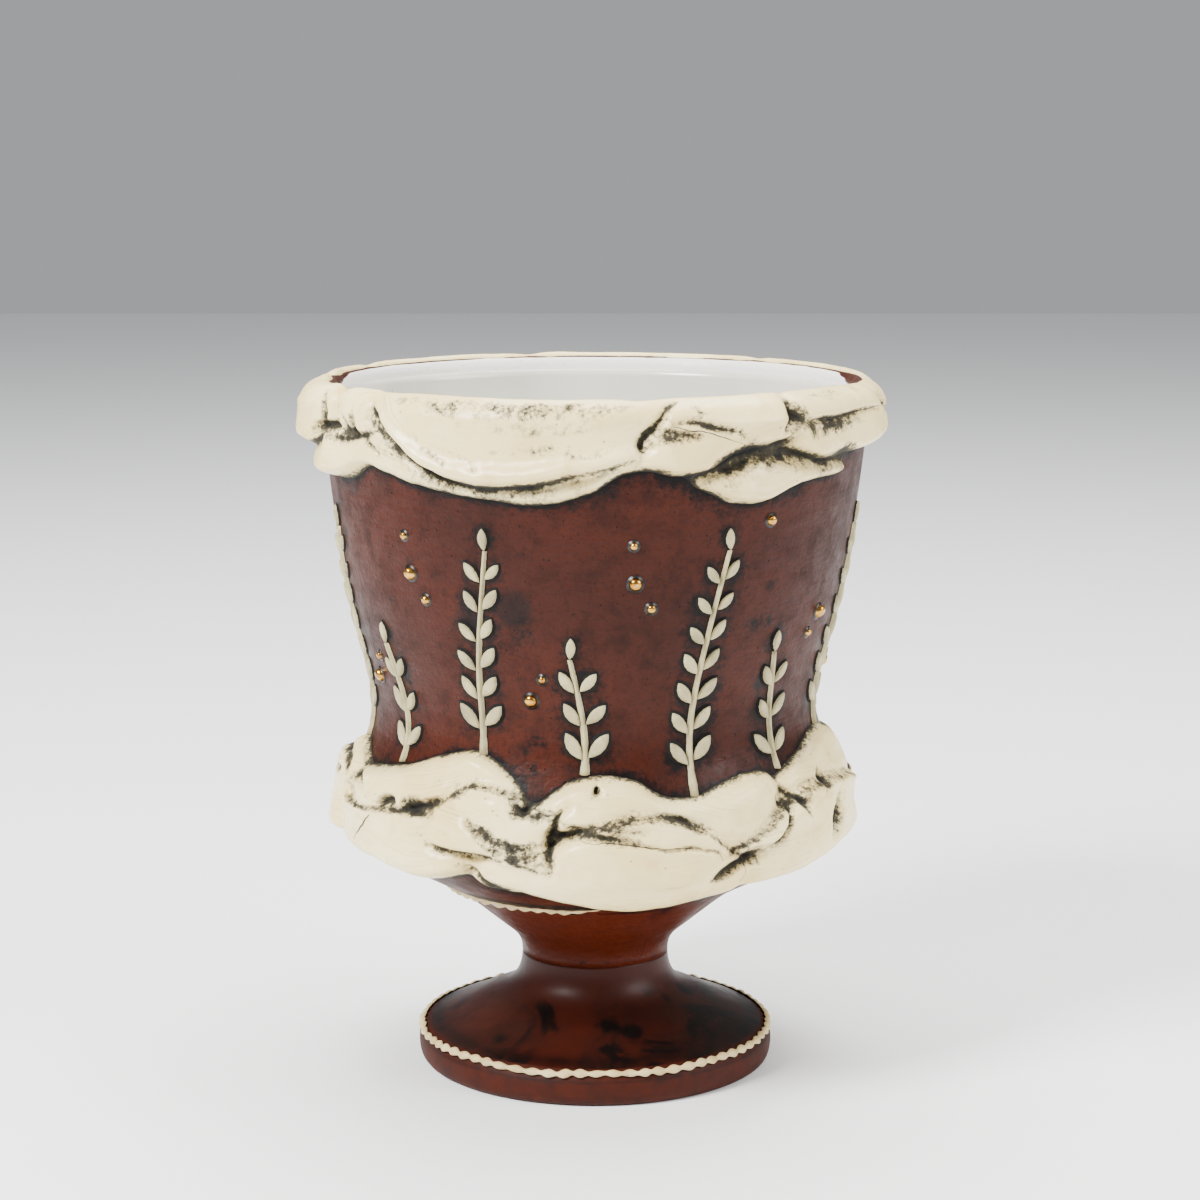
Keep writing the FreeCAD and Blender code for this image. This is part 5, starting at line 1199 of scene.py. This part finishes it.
def makeBeads(material):
    heap, sides, rings = {"verts": [], "faces": [], "stain": []}, beads["sides"], beads["rings"]
    angle = np.linspace(0, 2 * math.pi, sides, endpoint=False)
    top = (len(rings) - 1) * sides
    faces = ringFaces(len(rings), sides) + [(top + j, top + (j + 1) % sides, top + sides) for j in range(sides)]
    faces.append(tuple(range(sides)))
    dark = np.append(np.repeat([float(ring[2]) for ring in rings], sides), 0)
    for turn in range(sprigs["count"]):
        for across, upShare, size in beads["shares"][turn % 4]:
            bearing = sprigs["first"] + (turn + across) * 360 / sprigs["count"]
            height = beads["low"] + upShare * (beads["high"] - beads["low"])
            radius, places = beads["radius"] * size, []
            for reach, off, _ in rings:
                spread, lift = (radius * reach, off * radius) if reach <= 1 else (radius + (reach - 1), off)
                places.append(onWall(bearing, height, spread * np.cos(angle), spread * np.sin(angle), lift))
            places.append(onWall(bearing, height, np.zeros(1), np.zeros(1), radius * 1.02))
            addPart(heap, np.concatenate(places), faces, dark)
    settle(pieceFrom("goldBeads", heap), material, "gold_lustre", "gold_beads")


def makeCracks(name, drape, lines, material):
    curve = bpy.data.curves.new(name, "CURVE")
    curve.dimensions = "3D"
    curve.bevel_depth = 0.5 * mm
    curve.bevel_resolution = 1
    curve.use_fill_caps = True
    for number, (points, width) in enumerate(lines):
        perDegree = [clayRadius * math.pi / 180, 1]
        bearing, v = (evenly(strokeLine(points) * perDegree, 0.45) / perDegree).T
        bearing = bearing + 0.35 * cloud(bearing, v, 1.6, 601 + number)
        v = v + 0.28 * cloud(bearing, v + 7, 1.6, 641 + number)
        depth = sampleDrape(drape, "depth", bearing, v)
        places = around(bearing, *wallPlace(v, depth - 0.3 * width)) * mm
        swell = 0.35 + 0.65 * np.sin(math.pi * np.linspace(0, 1, len(v))) ** 0.6
        thick = width * swell * (1 + 0.3 * cloud(bearing, v, 1, 661))
        spline = curve.splines.new("POLY")
        spline.points.add(len(places) - 1)
        for point, place, size in zip(spline.points, places, thick):
            point.co = (*place, 1)
            point.radius = size
    piece = bpy.data.objects.new(name, curve)
    bpy.context.scene.collection.objects.link(piece)
    pickOnly(piece)
    bpy.ops.object.convert(target="MESH")
    bpy.ops.object.shade_smooth()
    settle(bpy.context.object, material, "white_clay")


# the photograph's viewing angle
camera = {"place": (0.00093, -0.5255, 0.1748), "pitch": 9.6, "lens": 87, "sensor": 36}
bpy.ops.object.camera_add(location=camera["place"], rotation=(math.radians(90 - camera["pitch"]), 0, 0))
bpy.context.scene.camera = bpy.context.object
bpy.context.object.data.lens = camera["lens"]
bpy.context.object.data.sensor_width = camera["sensor"]
bpy.context.object.data.dof.use_dof = False
print("camera placed")

cream = creamClayMaterial(creamClay)
for name, drape in (("rimClay", rimDrape), ("shoulderClay", shoulderDrape)):
    settle(makeDrape(name, drape), cream, "white_clay", *drape["strips"])

stems, leaves = leafPlan()
# where black is brushed in round each leaf: bearing, height and reach
leafMiddle, spotRadius = sprigs["leafMiddle"], 42
leafSpots = [(bearing + math.degrees((start + leafMiddle * math.sin(math.radians(lean))) / spotRadius),
              height + leafMiddle * math.cos(math.radians(lean)), sprigs["brushed"] * size)
             for rows in leaves.values() for bearing, height, start, lean, size in rows]
makeBowl()
makeLiner()
makeFoot()
slipCream, slipPale = (slipMaterial(name, settings) for name, settings in slips.items())
for name, settings in trails.items():
    makeTrail(name, settings, slipCream)
leafShape = leafForm()
for name, (node, _, _) in sprigs["kinds"].items():
    makeSprigs(name, node, stems[name], leaves[name], leafShape, slipPale)
makeBeads(goldMaterial(goldLustre))
ink = inkMaterial(inkBlack)
makeCracks("rimCracks", rimDrape, cracks["rim"], ink)
makeCracks("shoulderCracks", shoulderDrape, cracks["shoulder"], ink)

bpy.ops.mesh.primitive_plane_add(size=4)
floor = bpy.context.object
floor.name = "floor"
floorMaterial, shader = startMaterial("floorPale")
link(grey(0.9), shader.inputs["Base Color"])
link(0.6, shader.inputs["Roughness"])
floor.data.materials.append(floorMaterial)

# place, size and power
lights = {
    "keyLight": ((-0.5, -0.42, 0.62), 0.26, 19),
    "fillLight": ((0.8, -0.3, 0.5), 0.5, 10),
    "topLight": ((0.05, 0.2, 0.9), 0.6, 17.5),
}
middle = Vector((0, 0, 0.07))
for name, (place, size, power) in lights.items():
    bpy.ops.object.light_add(type="AREA", location=place)
    lamp = bpy.context.object
    lamp.name = name
    lamp.data.size = size
    lamp.data.energy = power
    lamp.rotation_euler = (middle - Vector(place)).to_track_quat("-Z", "Y").to_euler()
world = bpy.context.scene.world or bpy.data.worlds.new("studio")
bpy.context.scene.world = world
world.use_nodes = True
for slot, value in zip(world.node_tree.nodes["Background"].inputs, ((0.92, 0.94, 0.97, 1), 0.42)):
    slot.default_value = value
print("floor and lights placed")
